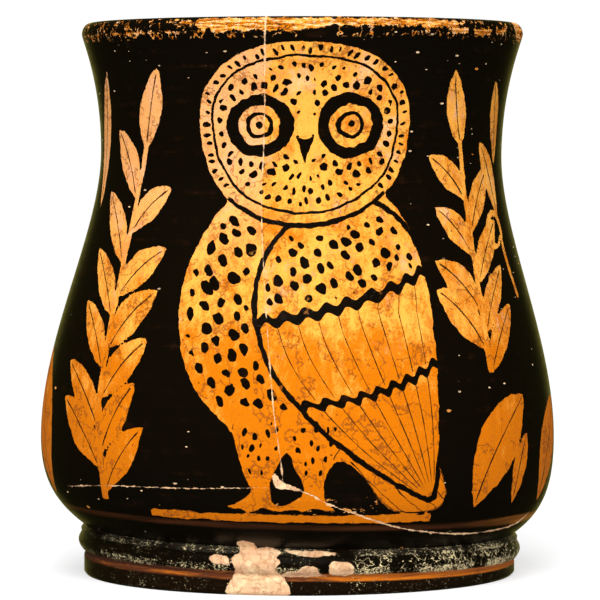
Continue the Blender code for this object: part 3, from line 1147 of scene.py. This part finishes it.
def specks_effect():
    """Scattered ragged specks: a mask, with the share of cells that hold one."""
    group, (place, scale, size, share), leave = effect(
        "specks",
        {"Place": "Vector", "Scale": 0.5, "Size": 0.2, "Share": 0.3},
        {"Mask": "Float"})
    ragged = (noise(place, 2.6, 2.0) - 0.5) * 0.5
    node = group.nodes.new("ShaderNodeTexVoronoi")
    plug(place, node.inputs["Vector"])
    plug(scale, node.inputs["Scale"])
    chance, bulk, _ = apart(Signal(node.outputs["Color"]))
    depth = size * (bulk + 0.4) - Signal(node.outputs["Distance"]) / scale + ragged * size
    plug(depth.within(0.06) * (share - chance).within(0.02), leave["Mask"])


def specks(tree, place, scale, size, share):
    return use(tree, "specks", {"Place": place, "Scale": scale, "Size": size, "Share": share})[0]


def clay_wash_and_painted_light_effect():
    """Fired clay under the painter's wash: brush strokes, grain, rubbed patches, fine veins and pits, with
    painted light that pales it towards the upper left and painted shade that deepens it towards the bottom.
    """
    group, (place, worn, clay, deep, pale), leave = effect(
        "clay_wash",
        {"Place": "Vector", "Worn": 0.0, "Clay": "Color", "Deep": "Color", "Pale": "Color"},
        {"Colour": "Color", "Height": "Float"})
    x, _, z = apart(place)
    cloud, mottle, vein = three_noises(place, 0.17, 4.0, 0.62)
    strokes = noise(place, 0.8, 3.0, 0.7, (1.0, 1.0, 0.42), 11.0)
    grain = noise(place, 2.7, 2.0, 0.8, shift=5.0)
    # Painted light: the clay is made paler towards the top and the left, where the key light falls
    painted_light_upper_left = (z - 44.0) * 0.009 - x * 0.002
    tone = cloud * 0.42 + strokes * 0.36 + grain * 0.22
    # Painted shade: the clay is made deeper and less rubbed towards the bottom, which faces away from the
    # light above
    low = (48.0 - z).rise(0.0, 26.0)
    richer = (tone - painted_light_upper_left * 0.10 - worn * 0.04 + low * 0.15).rise(0.40, 0.62)
    # Rubbed patches of pale clay, more of them at the upper left as painted light and fewer low down as
    # painted shade
    rubbed = mottle * 0.46 + strokes * 0.30 + grain * 0.24 + painted_light_upper_left * 0.07 + worn * 0.02 - low * 0.08
    rubbed = rubbed.rise(0.54, 0.63)
    colour = mix_colour(richer, clay, deep)
    colour = mix_colour(rubbed * 0.85, colour, pale)
    colour = mix_colour(worn * 0.5, colour, (0.84, 0.37, 0.17, 1.0))
    burnt = (grain * 0.6 + strokes * 0.4 - 0.56).within(0.08)
    colour = mix_colour(burnt * 0.45, colour, (0.42, 0.115, 0.008, 1.0))
    veins = (0.012 - abs(vein - 0.5)).within(0.012) * (cloud - 0.47).within(0.06)
    pits = specks(group, place, 0.9, 0.13, 0.35)
    colour = mix_colour(veins.most(pits) * 0.6, colour, (0.16, 0.04, 0.008, 1.0))
    plug(colour, leave["Colour"])
    plug(grain * 0.03 + strokes * 0.03 - pits * 0.05 - veins * 0.03, leave["Height"])


def gloss_coat_effect():
    """Black gloss: colour, roughness and height, with wheel streaks and places where it was brushed thin."""
    _, (place, gloss, thin, thinness), leave = effect(
        "gloss_coat",
        {"Place": "Vector", "Gloss": "Color", "Thin": "Color", "Thinness": 0.0},
        {"Colour": "Color", "Roughness": "Float", "Height": "Float"})
    wheel = noise(place, 1.0, 3.0, 0.55, (0.05, 0.05, 0.9), 3.0)
    mottle = noise(place, 0.45, 4.0, 0.6, shift=7.0)
    thinned = (thinness + (wheel * 0.5 + mottle * 0.5).rise(0.54, 0.76) * 0.22).math("MINIMUM", 1.0)
    plug(mix_colour(thinned, gloss, thin), leave["Colour"])
    plug(mottle * 0.20 + wheel * 0.10 + 0.17, leave["Roughness"])
    plug(wheel * 0.07 + mottle * 0.02, leave["Height"])


def laid_bare_effect():
    """Body clay where the gloss has flaked off: layered along the wheel, pale and crumbly."""
    _, (place, clay, deep, pale), leave = effect(
        "laid_bare",
        {"Place": "Vector", "Clay": "Color", "Deep": "Color", "Pale": "Color"},
        {"Colour": "Color", "Height": "Float", "Dark": "Float"})
    layers = noise(place, 1.3, 4.0, 0.68, (0.22, 0.22, 2.0), 31.0)
    crumbs = noise(place, 1.8, 3.0, 0.7, shift=37.0)
    colour = mix_colour((layers * 0.7 + crumbs * 0.3).rise(0.44, 0.58), deep, clay)
    colour = mix_colour((crumbs * 0.6 + layers * 0.4).rise(0.50, 0.60) * 0.9, colour, pale)
    sliver = (0.014 - abs(layers - 0.46)).within(0.01)
    colour = mix_colour(sliver * 0.75, colour, (0.10, 0.035, 0.010, 1.0))
    plug(colour, leave["Colour"])
    plug(layers * 0.16 + crumbs * 0.10 - sliver * 0.05, leave["Height"])
    plug((0.385 - layers).within(0.03), leave["Dark"])


def plaster_fill_effect():
    """Plaster of the repairs: cream and pink, with fine veins and a trowelled surface."""
    _, (place, fill, cream), leave = effect(
        "plaster_fill",
        {"Place": "Vector", "Fill": "Color", "Cream": "Color"},
        {"Colour": "Color", "Height": "Float"})
    cloud, vein, grain = three_noises(place, 0.45, 5.0, 0.65)
    colour = mix_colour(cloud.rise(0.42, 0.60), fill, cream)
    veins = (0.014 - abs(vein - 0.5)).within(0.014)
    colour = mix_colour(veins * 0.55, colour, (0.50, 0.20, 0.075, 1.0))
    plug(mix_colour((grain - 0.56).within(0.06) * 0.4, colour, (0.62, 0.30, 0.13, 1.0)), leave["Colour"])
    plug(cloud * 0.12 + grain * 0.08 - veins * 0.05, leave["Height"])


def coat_of(tree, place, finish, thinness):
    """Gloss in the mug's own colours: its colour, roughness and height."""
    return use(
        tree, "gloss_coat",
        {"Place": place, "Gloss": finish.gloss, "Thin": finish.thin_gloss, "Thinness": thinness})


def clay_of(tree, name, place, finish, **more):
    """Clay in the mug's own colours, washed or laid bare."""
    clays = {"Clay": finish.clay, "Deep": finish.deep_clay, "Pale": finish.pale_clay}
    return use(tree, name, {"Place": place, **clays, **more})


def plaster_of(tree, place, finish):
    """Plaster in the mug's own colours: its colour and height."""
    return use(tree, "plaster_fill", {"Place": place, "Fill": finish.fill, "Cream": finish.cream})


def dots(tree, across, up, pitch_across, pitch_up, radius, stretch=1.3, looseness=0.3, around=NEVER_ROUND):
    return use(tree, "brush_dots", {
        "Across": across, "Up": up, "Pitch Across": pitch_across, "Pitch Up": pitch_up, "Radius": radius,
        "Stretch": stretch, "Looseness": looseness, "Around": around})[0]


def slanted_dots(tree, s, z, lean, pitch_across, pitch_up, radius):
    """Loose dots in rows that lean by the given cosine and sine."""
    across = s * lean[0] + z * lean[1]
    up = z * lean[0] - s * lean[1]
    return dots(tree, across, up, pitch_across, pitch_up, radius, 1.3, 0.5).within()


def new_material(name, roughness):
    """An empty material with its Principled BSDF."""
    material = bpy.data.materials.new(name)
    material.use_nodes = True
    shader = material.node_tree.nodes["Principled BSDF"]
    shader.inputs["Roughness"].default_value = roughness
    return material, material.node_tree, shader


def raise_surface(tree, shader, height, strength=1.0):
    """Feeds a height in millimetres to the shader's normal."""
    bump = tree.nodes.new("ShaderNodeBump")
    bump.inputs["Strength"].default_value = strength
    bump.inputs["Distance"].default_value = MM
    plug(height, bump.inputs["Height"])
    tree.links.new(bump.outputs["Normal"], shader.inputs["Normal"])


def owl_ink(tree, swell, s, z, reserve, head, wing, body, legs, tail, across, span, along):
    """Everything drawn on the owl: lines, dots and marks in thinned gloss."""
    s = s / OWL_BREADTH
    z = z - OWL_LIFT
    off_head = 1.0 - head.within()
    on_wing = wing.within() * off_head
    on_breast = body.within() * off_head * (1.0 - wing.within())
    sideways = s - EYE_MIDDLE
    eye_side = abs(sideways) - EYE_SPREAD
    eye_rise = z - EYE_HEIGHT
    eye = distance(eye_side, eye_rise)
    thick = swell * 0.5
    chin = (0.30 - (z - 52.0) * 0.03 + thick * 0.5 - abs(head - 0.2)).within()
    chin = chin * (body + 0.5).within(0.4) * (61.0 - z).within(1.0)
    brow = (0.12 + thick * 0.4 - abs(head - 2.1)).within()
    ring = (EYE_RING[1] - eye).within() * (eye - EYE_RING[0] + thick).within()
    iris = (0.18 + thick * 0.5 - abs(eye - IRIS_RADIUS)).within()
    pupil = (PUPIL_RADIUS - eye).within()
    beak_sides = 1.25 - abs(sideways) - (BEAK_TOP - z) * 0.34
    beak = beak_sides.least(z - BEAK_TIP).least(BEAK_TOP - z + abs(sideways) * 0.35).within()
    beak_gap = distance(sideways, z - BEAK_MIDDLE) - BEAK_ROOM
    angle = sideways.math("ARCTAN2", z - FACE_MIDDLE)
    rows = head - 2.7
    count = (44.0 - (rows / FACE_DOTS[1]).math("FLOOR") * 6.0).most(4.0)
    room = (head - 2.5).least(eye - 8.2).least(beak_gap).least(10.0 - head)
    around = angle * count * (FACE_DOTS[0] / math.tau)
    face_dots = dots(tree, around, rows, *FACE_DOTS, room.rise(0.0, 1.0) * 0.37, 1.3, 0.5, count).within()
    spin = eye_rise.math("ARCTAN2", eye_side)
    lashes = (head - 2.6).least(abs(sideways) - 0.7).least(beak_gap).least(8.3 - eye).least(eye - 5.2)
    around = spin * (LASHES * LASH_DOTS[0] / math.tau)
    radius = lashes.rise(-0.1, 0.7) * 0.42
    lash_dots = dots(tree, around, eye - 5.3, *LASH_DOTS, radius, 1.7, 0.35, LASHES).within()
    around = angle * (RIM_DASHES * RIM_DASH_PITCH / math.tau)
    rim_dashes = dots(tree, around, head, RIM_DASH_PITCH, 2.0, 0.3, 1.7, 0.35, RIM_DASHES).within()
    rim_dashes = rim_dashes * (head - 0.3).within() * (1.8 - head).within() * (z - 57.0).within(1.0)
    on_owl = body.most(tail).most(wing + 0.3).within()
    wing_edge = (0.16 + thick * 0.9 - abs(wing + 0.1)).within() * off_head * on_owl
    room = (body - 0.7).least(-0.6 - wing).least(-0.7 - head).least((z - 23.6) * 0.8)
    breast = slanted_dots(tree, s, z, (0.92, 0.39), *BREAST_DOTS, room.rise(0.0, 1.3) * 0.70)
    room = (legs - 0.3).least((24.0 - z) * 0.5).least(z - 12.4)
    ticks = dots(tree, s, z, *LEG_DOTS, room.rise(0.0, 0.7) * 0.30, 1.6, 0.6).within()
    quills = across * WING_QUILLS
    quill = 0.5 - abs(quills.fraction() - 0.5)
    zigzag = (quill * math.tau).math("COSINE") * -0.010
    upper, lower = [(half + thick * 0.026 - abs(along - at + zigzag)) * 50.0 for at, half in WING_BARS]
    bars = upper.most(lower).within() * (wing - 0.15).within() * on_wing
    flight = (0.128 - abs(along - 0.455)).most(along - 0.617).within(0.004)
    nib = thick * 0.34 - 0.02
    feathers = (nib - quill * span / WING_QUILLS).within() * flight * on_wing * (span - 4.0).within(2.0)
    room = (wing - 0.7).least((0.29 - along) * 40.0).least(-0.7 - head)
    coverts = slanted_dots(tree, s, z, (0.85, 0.53), *COVERT_DOTS, room.rise(0.0, 1.2) * 0.56) * on_wing
    tail_lines = (s * 0.66 + z * 0.751) / TAIL_LINE_GAP
    tail_lines = nib - (0.5 - abs(tail_lines.fraction() - 0.5)) * TAIL_LINE_GAP
    off_body = (0.3 - body).within()
    tail_lines = tail_lines.within() * tail.within() * (-0.3 - wing).within() * off_body
    tail_edge = (nib + 0.05 - abs(tail)).within() * off_body * (-0.2 - wing).within() * reserve.within()
    leg_edge = (nib + 0.03 - abs(legs)).within() * on_breast * (22.0 - z).within(0.4)
    lined = chin.most(brow).most(ring).most(iris).most(pupil).most(beak)
    lined = lined.most(wing_edge).most(bars).most(tail_edge)
    dotted = face_dots.most(lash_dots).most(rim_dashes).most(breast).most(ticks).most(coverts)
    return lined, dotted, feathers.most(tail_lines).most(leg_edge)


def painted_gloss(finish):
    """The outer wall, lip and handle: the picture, its gloss, its wear and its repairs."""
    material, tree, shader = new_material("painted_gloss", finish.gloss_roughness)
    place = place_in_mm(tree)
    s, z, _ = kept(tree, "unrolled")
    reserve, head, wing = kept(tree, "owl")
    body, legs, tail = kept(tree, "limbs")
    across, span, along = kept(tree, "feathers")
    leaf, rib, rim = kept(tree, "leaves")
    join, crack, fill = kept(tree, "repairs")
    wobble = (noise(place, 1.1, 3.0, 0.6) - 0.5) * 0.5
    sway, dip, _ = three_noises(place, 0.16)
    shake, shiver, swell = three_noises(place, 0.42, 2.0, 0.6)
    edge = reserve + wobble * 0.5 + (swell - 0.5) * 0.8
    bare = edge.within()
    hand_s = s + (sway - 0.5) * 1.4 + (shake - 0.5) * 1.1 + wobble * 0.3
    hand_z = z + (dip - 0.5) * 1.4 + (shiver - 0.5) * 1.1 - wobble * 0.3
    hand = wobble * 0.4 + (swell - 0.5) * 0.8
    lined, dotted, thin = owl_ink(
        tree, shake, hand_s, hand_z, reserve, head + hand, wing + hand, body + hand, legs + hand, tail,
        across, span, along)
    nib = shake * 0.26 - 0.01
    ribs = (nib - abs(rib + wobble * 0.4)).within() * (leaf - 0.5).within(0.3)
    left_of_join = (0.0 - join).within(0.1) * z.rise(46.0, 66.0)
    # The wash holds painted light, paler towards the upper left, and painted shade, deeper towards the bottom
    wash, wash_height = clay_of(tree, "clay_wash", place, finish, Worn=left_of_join)
    band_tint = noise(place, 0.9, 4.0, 0.6, (0.08, 0.08, 1.4), 19.0)
    far_right = s.rise(26.0, 44.0)
    band = (far_right * 0.25 + 0.40 - abs(z - 10.8 + s * 0.004 + wobble * 0.3)).within(0.4)
    band = band * (band_tint.rise(0.35, 0.65) * 0.6 + 0.4)
    coat, coat_roughness, coat_height = coat_of(tree, place, finish, band)
    coat = mix_colour(band * far_right * 0.9, coat, (0.44, 0.14, 0.012, 1.0))
    raw, raw_height, dark = clay_of(tree, "laid_bare", place, finish, Pale=finish.fill)
    worn_ink = (wobble + (dip - 0.5) - 0.27).within(0.08) * 0.5
    showing = bare * (1.0 - lined.most(dotted) * (1.0 - worn_ink))
    colour = mix_colour(showing, coat, wash)
    colour = mix_colour(thin.most(ribs) * (0.95 - worn_ink), colour, (0.010, 0.005, 0.002, 1.0))
    ragged = (noise(place, 0.8, 4.0, 0.72, (1.0, 1.0, 0.7), 13.0) - 0.5) * 2.4
    rubbed_rim = (rim + ragged).within(0.10) * (rim + 0.9).within(0.3)
    rubbed = rubbed_rim * (1.0 - dark)
    breaks = noise(place, 0.55, 4.0, 0.7, shift=41.0)
    curls = (0.018 - abs(swell - 0.5)).within(0.012) * (rim + 0.95).within(0.2) * (ragged - 0.02).within(0.2)
    lip_zone = (z - 79.0).rise(0.0, 5.0)
    wide = vector_node(tree, "MULTIPLY", place, (0.75, 0.75, 1.7))
    chips = specks(tree, wide, 0.20, lip_zone * 0.12 + 0.28, 0.42)
    by_crack = (1.2 - abs(crack)).rise(0.0, 0.8) * s.rise(0.0, 8.0)
    crumbly = lip_zone * 0.4 + (21.0 - z).rise(0.0, 6.0) * 0.16 + by_crack * 0.25 + 0.14
    crumbs = specks(tree, wide, 0.55, 0.19, crumbly)
    smear = noise(place, 0.9, 4.0, 0.7, (0.7, 0.7, 1.5), 17.0)
    smear = (smear - 0.555 - abs(z - 13.8) * 0.05 - abs(s - 5.0) * 0.009).within(0.03)
    crumbs = crumbs * (1.0 - bare)
    chips = chips.most(smear) * (1.0 - bare)
    rubbed = rubbed.most(chips).most(curls)
    colour = mix_colour(rubbed, colour, raw)
    colour = mix_colour(crumbs * 0.85, colour, finish.cream)
    rubbed = rubbed.most(crumbs)
    join_width = (breaks - 0.45) * 0.7 + (z - 74.0).rise(0.0, 6.0) * 0.06 + (z - 82.0).rise(0.0, 4.0) * 0.12
    hairline = (join_width - abs(join + wobble * 0.4)).within(0.10) * (z - JOIN_FOOT).within(0.5) * 0.85
    to_right = s.rise(-4.0, 8.0)
    seam = (breaks - 0.5) * 0.7 + to_right * 0.075 + 0.035 - abs(crack + wobble * 0.9)
    seam = seam.within(0.08) * (s - CRACK_ENDS[0]).within(2.0) * (CRACK_ENDS[1] - s).within(2.0)
    filled = (fill + wobble * 1.3).within(0.1)
    mended = hairline.most(seam).most(filled)
    plaster, plaster_height = plaster_of(tree, place, finish)
    colour = mix_colour(mended, colour, plaster)
    plug(colour, shader.inputs["Base Color"])
    matt = showing.most(rubbed).most(mended)
    plug(coat_roughness + matt * 0.35, shader.inputs["Roughness"])
    dull = (bare * (1.0 - lined * (1.0 - worn_ink))).most(rubbed_rim).most(curls).most(mended)
    plug(GLOSS_SPECULAR - dull * (GLOSS_SPECULAR - CLAY_SPECULAR), shader.inputs["Specular IOR Level"])
    gloss_step = edge.within(0.35) * -0.035
    height = coat_height + wash_height * bare + gloss_step + rubbed * (raw_height - 0.16)
    height = height - hairline.most(seam) * 0.05 + filled * (plaster_height - 0.02)
    raise_surface(tree, shader, height)
    return material


def inner_gloss(finish):
    """The inside: duller gloss with wheel marks and a few crumbs."""
    material, tree, shader = new_material("inner_gloss", finish.gloss_roughness)
    place = place_in_mm(tree)
    cloudy = noise(place, 0.07, 4.0, 0.6, shift=61.0).rise(0.5, 0.8) * 0.35
    coat, roughness, height = coat_of(tree, place, finish, cloudy)
    raw, raw_height, _ = clay_of(tree, "laid_bare", place, finish)
    chips = specks(tree, place, 0.22, 0.26, 0.4)
    plug(mix_colour(chips, coat, raw), shader.inputs["Base Color"])
    plug(roughness + chips * 0.3 + 0.06, shader.inputs["Roughness"])
    raise_surface(tree, shader, height + chips * (raw_height - 0.1))
    shader.inputs["Specular IOR Level"].default_value = 0.22
    return material


def foot_gloss(finish):
    """The foot: gloss scuffed to chalk on its mouldings, dust and a painted sheen on the collar, a groove left
    in clay and plaster fills.
    """
    material, tree, shader = new_material("foot_gloss", finish.gloss_roughness)
    place = place_in_mm(tree)
    s, z, _ = kept(tree, "unrolled")
    _, _, fill = kept(tree, "repairs")
    collar_end, torus_end, groove_end = [level / MM for level in foot_levels()]
    wobble = (noise(place, 1.1, 3.0, 0.6) - 0.5) * 0.5
    level = z + wobble * 0.35
    groove = (torus_end + 0.05 - level).within(0.2) * (level - groove_end + 0.2).within(0.3)
    base = (groove_end - level).within(0.4) * 0.07
    coat, coat_roughness, coat_height = coat_of(tree, place, finish, base)
    streaks = noise(place, 0.9, 5.0, 0.66, (0.13, 0.13, 2.2), 71.0)
    streaks = (streaks + (s + 6.0) * 0.004).rise(0.42, 0.66)
    brown = mix_colour(streaks, (0.11, 0.026, 0.006, 1.0), finish.deep_clay)
    colour = mix_colour(groove * 0.92, coat, brown)
    grit = noise(place, 3.6, 4.0, 0.80, (0.8, 0.8, 1.0), 73.0)
    rubs = noise(place, 0.7, 4.0, 0.7, (0.9, 0.9, 0.35), 77.0)
    on_collar = (level - collar_end - 0.1).within(0.3) * (7.6 - level).within(0.3)
    low_torus = (torus_end + 1.1 - level).within(0.5) * (level - torus_end + 0.1).within(0.2)
    patches = noise(place, 0.16, 3.0, 0.6, shift=79.0).rise(0.38, 0.58)
    often = on_collar * 0.40 + low_torus * 0.70 + 0.2 + (s - 6.0).rise(0.0, 12.0) * 0.25
    scuffed = (grit * 0.72 + rubs * 0.28 + often * (patches * 0.65 + 0.35) * 0.12 - 0.634).within(0.02)
    curl = noise(place, 0.8, 2.0, 0.6, (0.8, 0.8, 1.0), 75.0)
    on_torus = (level - torus_end + 0.1).within(0.3) * (collar_end + 0.4 - level).within(0.3)
    curls = (0.014 - abs(curl - 0.5)).within(0.014) * on_torus * (s - 5.0).rise(0.0, 6.0)
    curls = curls * (patches * (0.5 + grit) - 0.55).within(0.2)
    scuffed = scuffed.most(curls) * (1.0 - groove * 0.8)
    # A greyish film on the collar: partly dust, partly a painted sheen where the light from above catches the
    # moulding
    dust_and_painted_sheen = on_collar * patches * (grit - 0.42).within(0.2) * 0.05
    colour = mix_colour(dust_and_painted_sheen, colour, (0.55, 0.49, 0.33, 1.0))
    colour = mix_colour(scuffed, colour, finish.scuff)
    filled = (fill + wobble * 1.3).within(0.1)
    plaster, plaster_height = plaster_of(tree, place, finish)
    colour = mix_colour(filled, colour, plaster)
    plug(colour, shader.inputs["Base Color"])
    matt = scuffed.most(filled).most(groove * 0.8)
    plug(coat_roughness + matt * 0.35, shader.inputs["Roughness"])
    raise_surface(tree, shader, coat_height + grit * 0.06 + scuffed * 0.04 + filled * (plaster_height + 0.03))
    shader.inputs["Specular IOR Level"].default_value = 0.45
    return material


def bare_clay(finish):
    """The underside: turned clay with a thin wash and its painted shade, rubbed where it rests."""
    material, tree, shader = new_material("bare_clay", finish.clay_roughness)
    place = place_in_mm(tree)
    # The wash holds painted shade, deepest here at the bottom of the mug
    wash, height = clay_of(tree, "clay_wash", place, finish)
    x, y, _ = apart(place)
    rings = ((distance(x, y) * 1.9).math("SINE") + 1.0) * 0.5
    raw, raw_height, _ = clay_of(tree, "laid_bare", place, finish)
    rubbed = noise(place, 0.16, 4.0, 0.6, shift=83.0).rise(0.5, 0.62)
    colour = mix_colour(rubbed * 0.6, wash, raw)
    plug(mix_colour(rings * 0.35 + 0.15, colour, finish.deep_clay), shader.inputs["Base Color"])
    raise_surface(tree, shader, height + rings * 0.05 + raw_height * 0.3)
    shader.inputs["Specular IOR Level"].default_value = 0.25
    return material


class MUG_OT_throw(bpy.types.Operator):
    """Throw the mug on the wheel, lute its handle on and paint it"""

    bl_idname = "mug.throw"
    bl_label = "Throw mug"

    def execute(self, context):
        mesh = throw_skin()
        finish = context.scene.mug_finish
        sort_faces(mesh)
        points = paint_skin(mesh)
        hand_throw(points)
        mesh.vertices.foreach_set("co", points.ravel())
        mesh.update()
        mesh.shade_smooth()
        mug = bpy.data.objects.new("red_figure_mug", mesh)
        context.scene.collection.objects.link(mug)
        for build in (
                brush_dots_effect, specks_effect, clay_wash_and_painted_light_effect, gloss_coat_effect, laid_bare_effect,
                plaster_fill_effect):
            build()
        for material in (painted_gloss, inner_gloss, foot_gloss, bare_clay):
            mesh.materials.append(material(finish))
        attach(mug, "root")
        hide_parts("vase")
        return {"FINISHED"}


class MUG_OT_stage(bpy.types.Operator):
    """Set the pale floor, the soft lights and the camera"""

    bl_idname = "mug.stage"
    bl_label = "Set stage"

    def execute(self, context):
        look = context.scene.mug_stage
        scene = context.scene
        scene.view_settings.view_transform = "Standard"
        camera_data = bpy.data.cameras.new("mug_camera")
        camera_data.sensor_width = SENSOR_WIDTH
        camera_data.lens = look.lens
        camera_data.clip_start = 0.01
        camera = bpy.data.objects.new("mug_camera", camera_data)
        scene.collection.objects.link(camera)
        camera.location = (look.sideways, -look.distance, look.eye_height)
        aim = Vector((look.sideways, 0.0, look.aim_height)) - camera.location
        camera.rotation_euler = aim.to_track_quat("-Z", "Y").to_euler()
        scene.camera = camera
        self.pale_floor(scene, look)
        for name, (place, size, mirrored) in LIGHTS.items():
            self.soft_light(scene, name, place, size, getattr(look, name + "_power"), mirrored)
        self.surroundings(scene, look)
        return {"FINISHED"}

    def pale_floor(self, scene, look):
        """A round floor that is pale by the mug and melts into the white surroundings."""
        work = bmesh.new()
        bmesh.ops.create_circle(work, cap_ends=True, radius=look.floor_radius, segments=96)
        mesh = bpy.data.meshes.new("pale_floor")
        work.to_mesh(mesh)
        work.free()
        floor = bpy.data.objects.new("pale_floor", mesh)
        scene.collection.objects.link(floor)
        material, tree, shader = new_material("pale_floor", 0.9)
        shader.inputs["Base Color"].default_value = (0.95, 0.95, 0.95, 1.0)
        shader.inputs["Specular IOR Level"].default_value = 0.0
        x, y, _ = apart(place_in_mm(tree))
        far = distance(x, y).rise(look.floor_near / MM, look.floor_radius / MM * 0.9)
        far = far * FLOOR_WHITE_GAIN + FLOOR_WHITE_NEAR
        glow = tree.nodes.new("ShaderNodeEmission")
        rays = tree.nodes.new("ShaderNodeLightPath")
        seen = Signal(rays.outputs["Is Camera Ray"])
        plug(seen * (WHITE - look.floor_glow) + look.floor_glow, glow.inputs["Strength"])
        fade = tree.nodes.new("ShaderNodeMixShader")
        plug(far, fade.inputs[0])
        tree.links.new(shader.outputs[0], fade.inputs[1])
        tree.links.new(glow.outputs[0], fade.inputs[2])
        tree.links.new(fade.outputs[0], tree.nodes["Material Output"].inputs["Surface"])
        mesh.materials.append(material)
        floor.visible_glossy = False

    def soft_light(self, scene, name, place, size, power, mirrored):
        """A round soft light aimed at the mug; only some are seen in the gloss."""
        light = bpy.data.lights.new(name + "_light", "AREA")
        light.shape = "DISK"
        light.size = size
        light.energy = power
        lamp = bpy.data.objects.new(name + "_light", light)
        lamp.location = place
        lamp.rotation_euler = (LIGHTS_AIM - lamp.location).to_track_quat("-Z", "Y").to_euler()
        lamp.visible_glossy = mirrored
        scene.collection.objects.link(lamp)

    def surroundings(self, scene, look):
        """White to the camera, soft light for the clay, a dim room and a bright wall behind for the gloss."""
        world = bpy.data.worlds.new("studio_white")
        scene.world = world
        world.use_nodes = True
        tree = world.node_tree
        tree.nodes.clear()
        rays = tree.nodes.new("ShaderNodeLightPath")
        facing = tree.nodes.new("ShaderNodeTexCoord")
        _, away, _ = apart(Signal(facing.outputs["Generated"]))
        mirrored = away.rise(look.wall_edge, 1.0) * (look.wall_sheen - look.sheen) + look.sheen
        strength = tree.nodes.new("ShaderNodeMix")
        plug(Signal(rays.outputs["Is Glossy Ray"]), strength.inputs[0])
        strength.inputs[2].default_value = look.ambient
        plug(mirrored, strength.inputs[3])
        seen = tree.nodes.new("ShaderNodeMix")
        plug(Signal(rays.outputs["Is Camera Ray"]), seen.inputs[0])
        tree.links.new(strength.outputs[0], seen.inputs[2])
        seen.inputs[3].default_value = WHITE
        tint = mix_colour(Signal(rays.outputs["Is Glossy Ray"]), (1.0, 1.0, 1.0, 1.0), SHEEN_TINT)
        back = tree.nodes.new("ShaderNodeBackground")
        plug(tint, back.inputs["Color"])
        tree.links.new(seen.outputs[0], back.inputs["Strength"])
        out = tree.nodes.new("ShaderNodeOutputWorld")
        tree.links.new(back.outputs[0], out.inputs["Surface"])


class MUG_PT_panel(bpy.types.Panel):
    """Sizes, colours and steps of the mug"""

    bl_idname = "MUG_PT_panel"
    bl_label = "Red-figure mug"
    bl_space_type = "VIEW_3D"
    bl_region_type = "UI"
    bl_category = "Red-figure mug"

    def draw(self, context):
        layout = self.layout
        for group in (context.scene.mug_sizes, context.scene.mug_finish, context.scene.mug_stage):
            box = layout.box()
            for name in group.__annotations__:
                box.prop(group, name)
        layout.operator(MUG_OT_throw.bl_idname)
        layout.operator(MUG_OT_stage.bl_idname)


CLASSES = (MugSizes, MugFinish, MugStage, MUG_OT_throw, MUG_OT_stage, MUG_PT_panel)


def register():
    for kind in CLASSES:
        bpy.utils.register_class(kind)
    bpy.types.Scene.mug_sizes = PointerProperty(type=MugSizes)
    bpy.types.Scene.mug_finish = PointerProperty(type=MugFinish)
    bpy.types.Scene.mug_stage = PointerProperty(type=MugStage)


def unregister():
    del bpy.types.Scene.mug_stage
    del bpy.types.Scene.mug_finish
    del bpy.types.Scene.mug_sizes
    for kind in reversed(CLASSES):
        bpy.utils.unregister_class(kind)


def main():
    register()
    bpy.ops.mug.throw()
    bpy.ops.mug.stage()


if __name__ == "__main__":
    main()
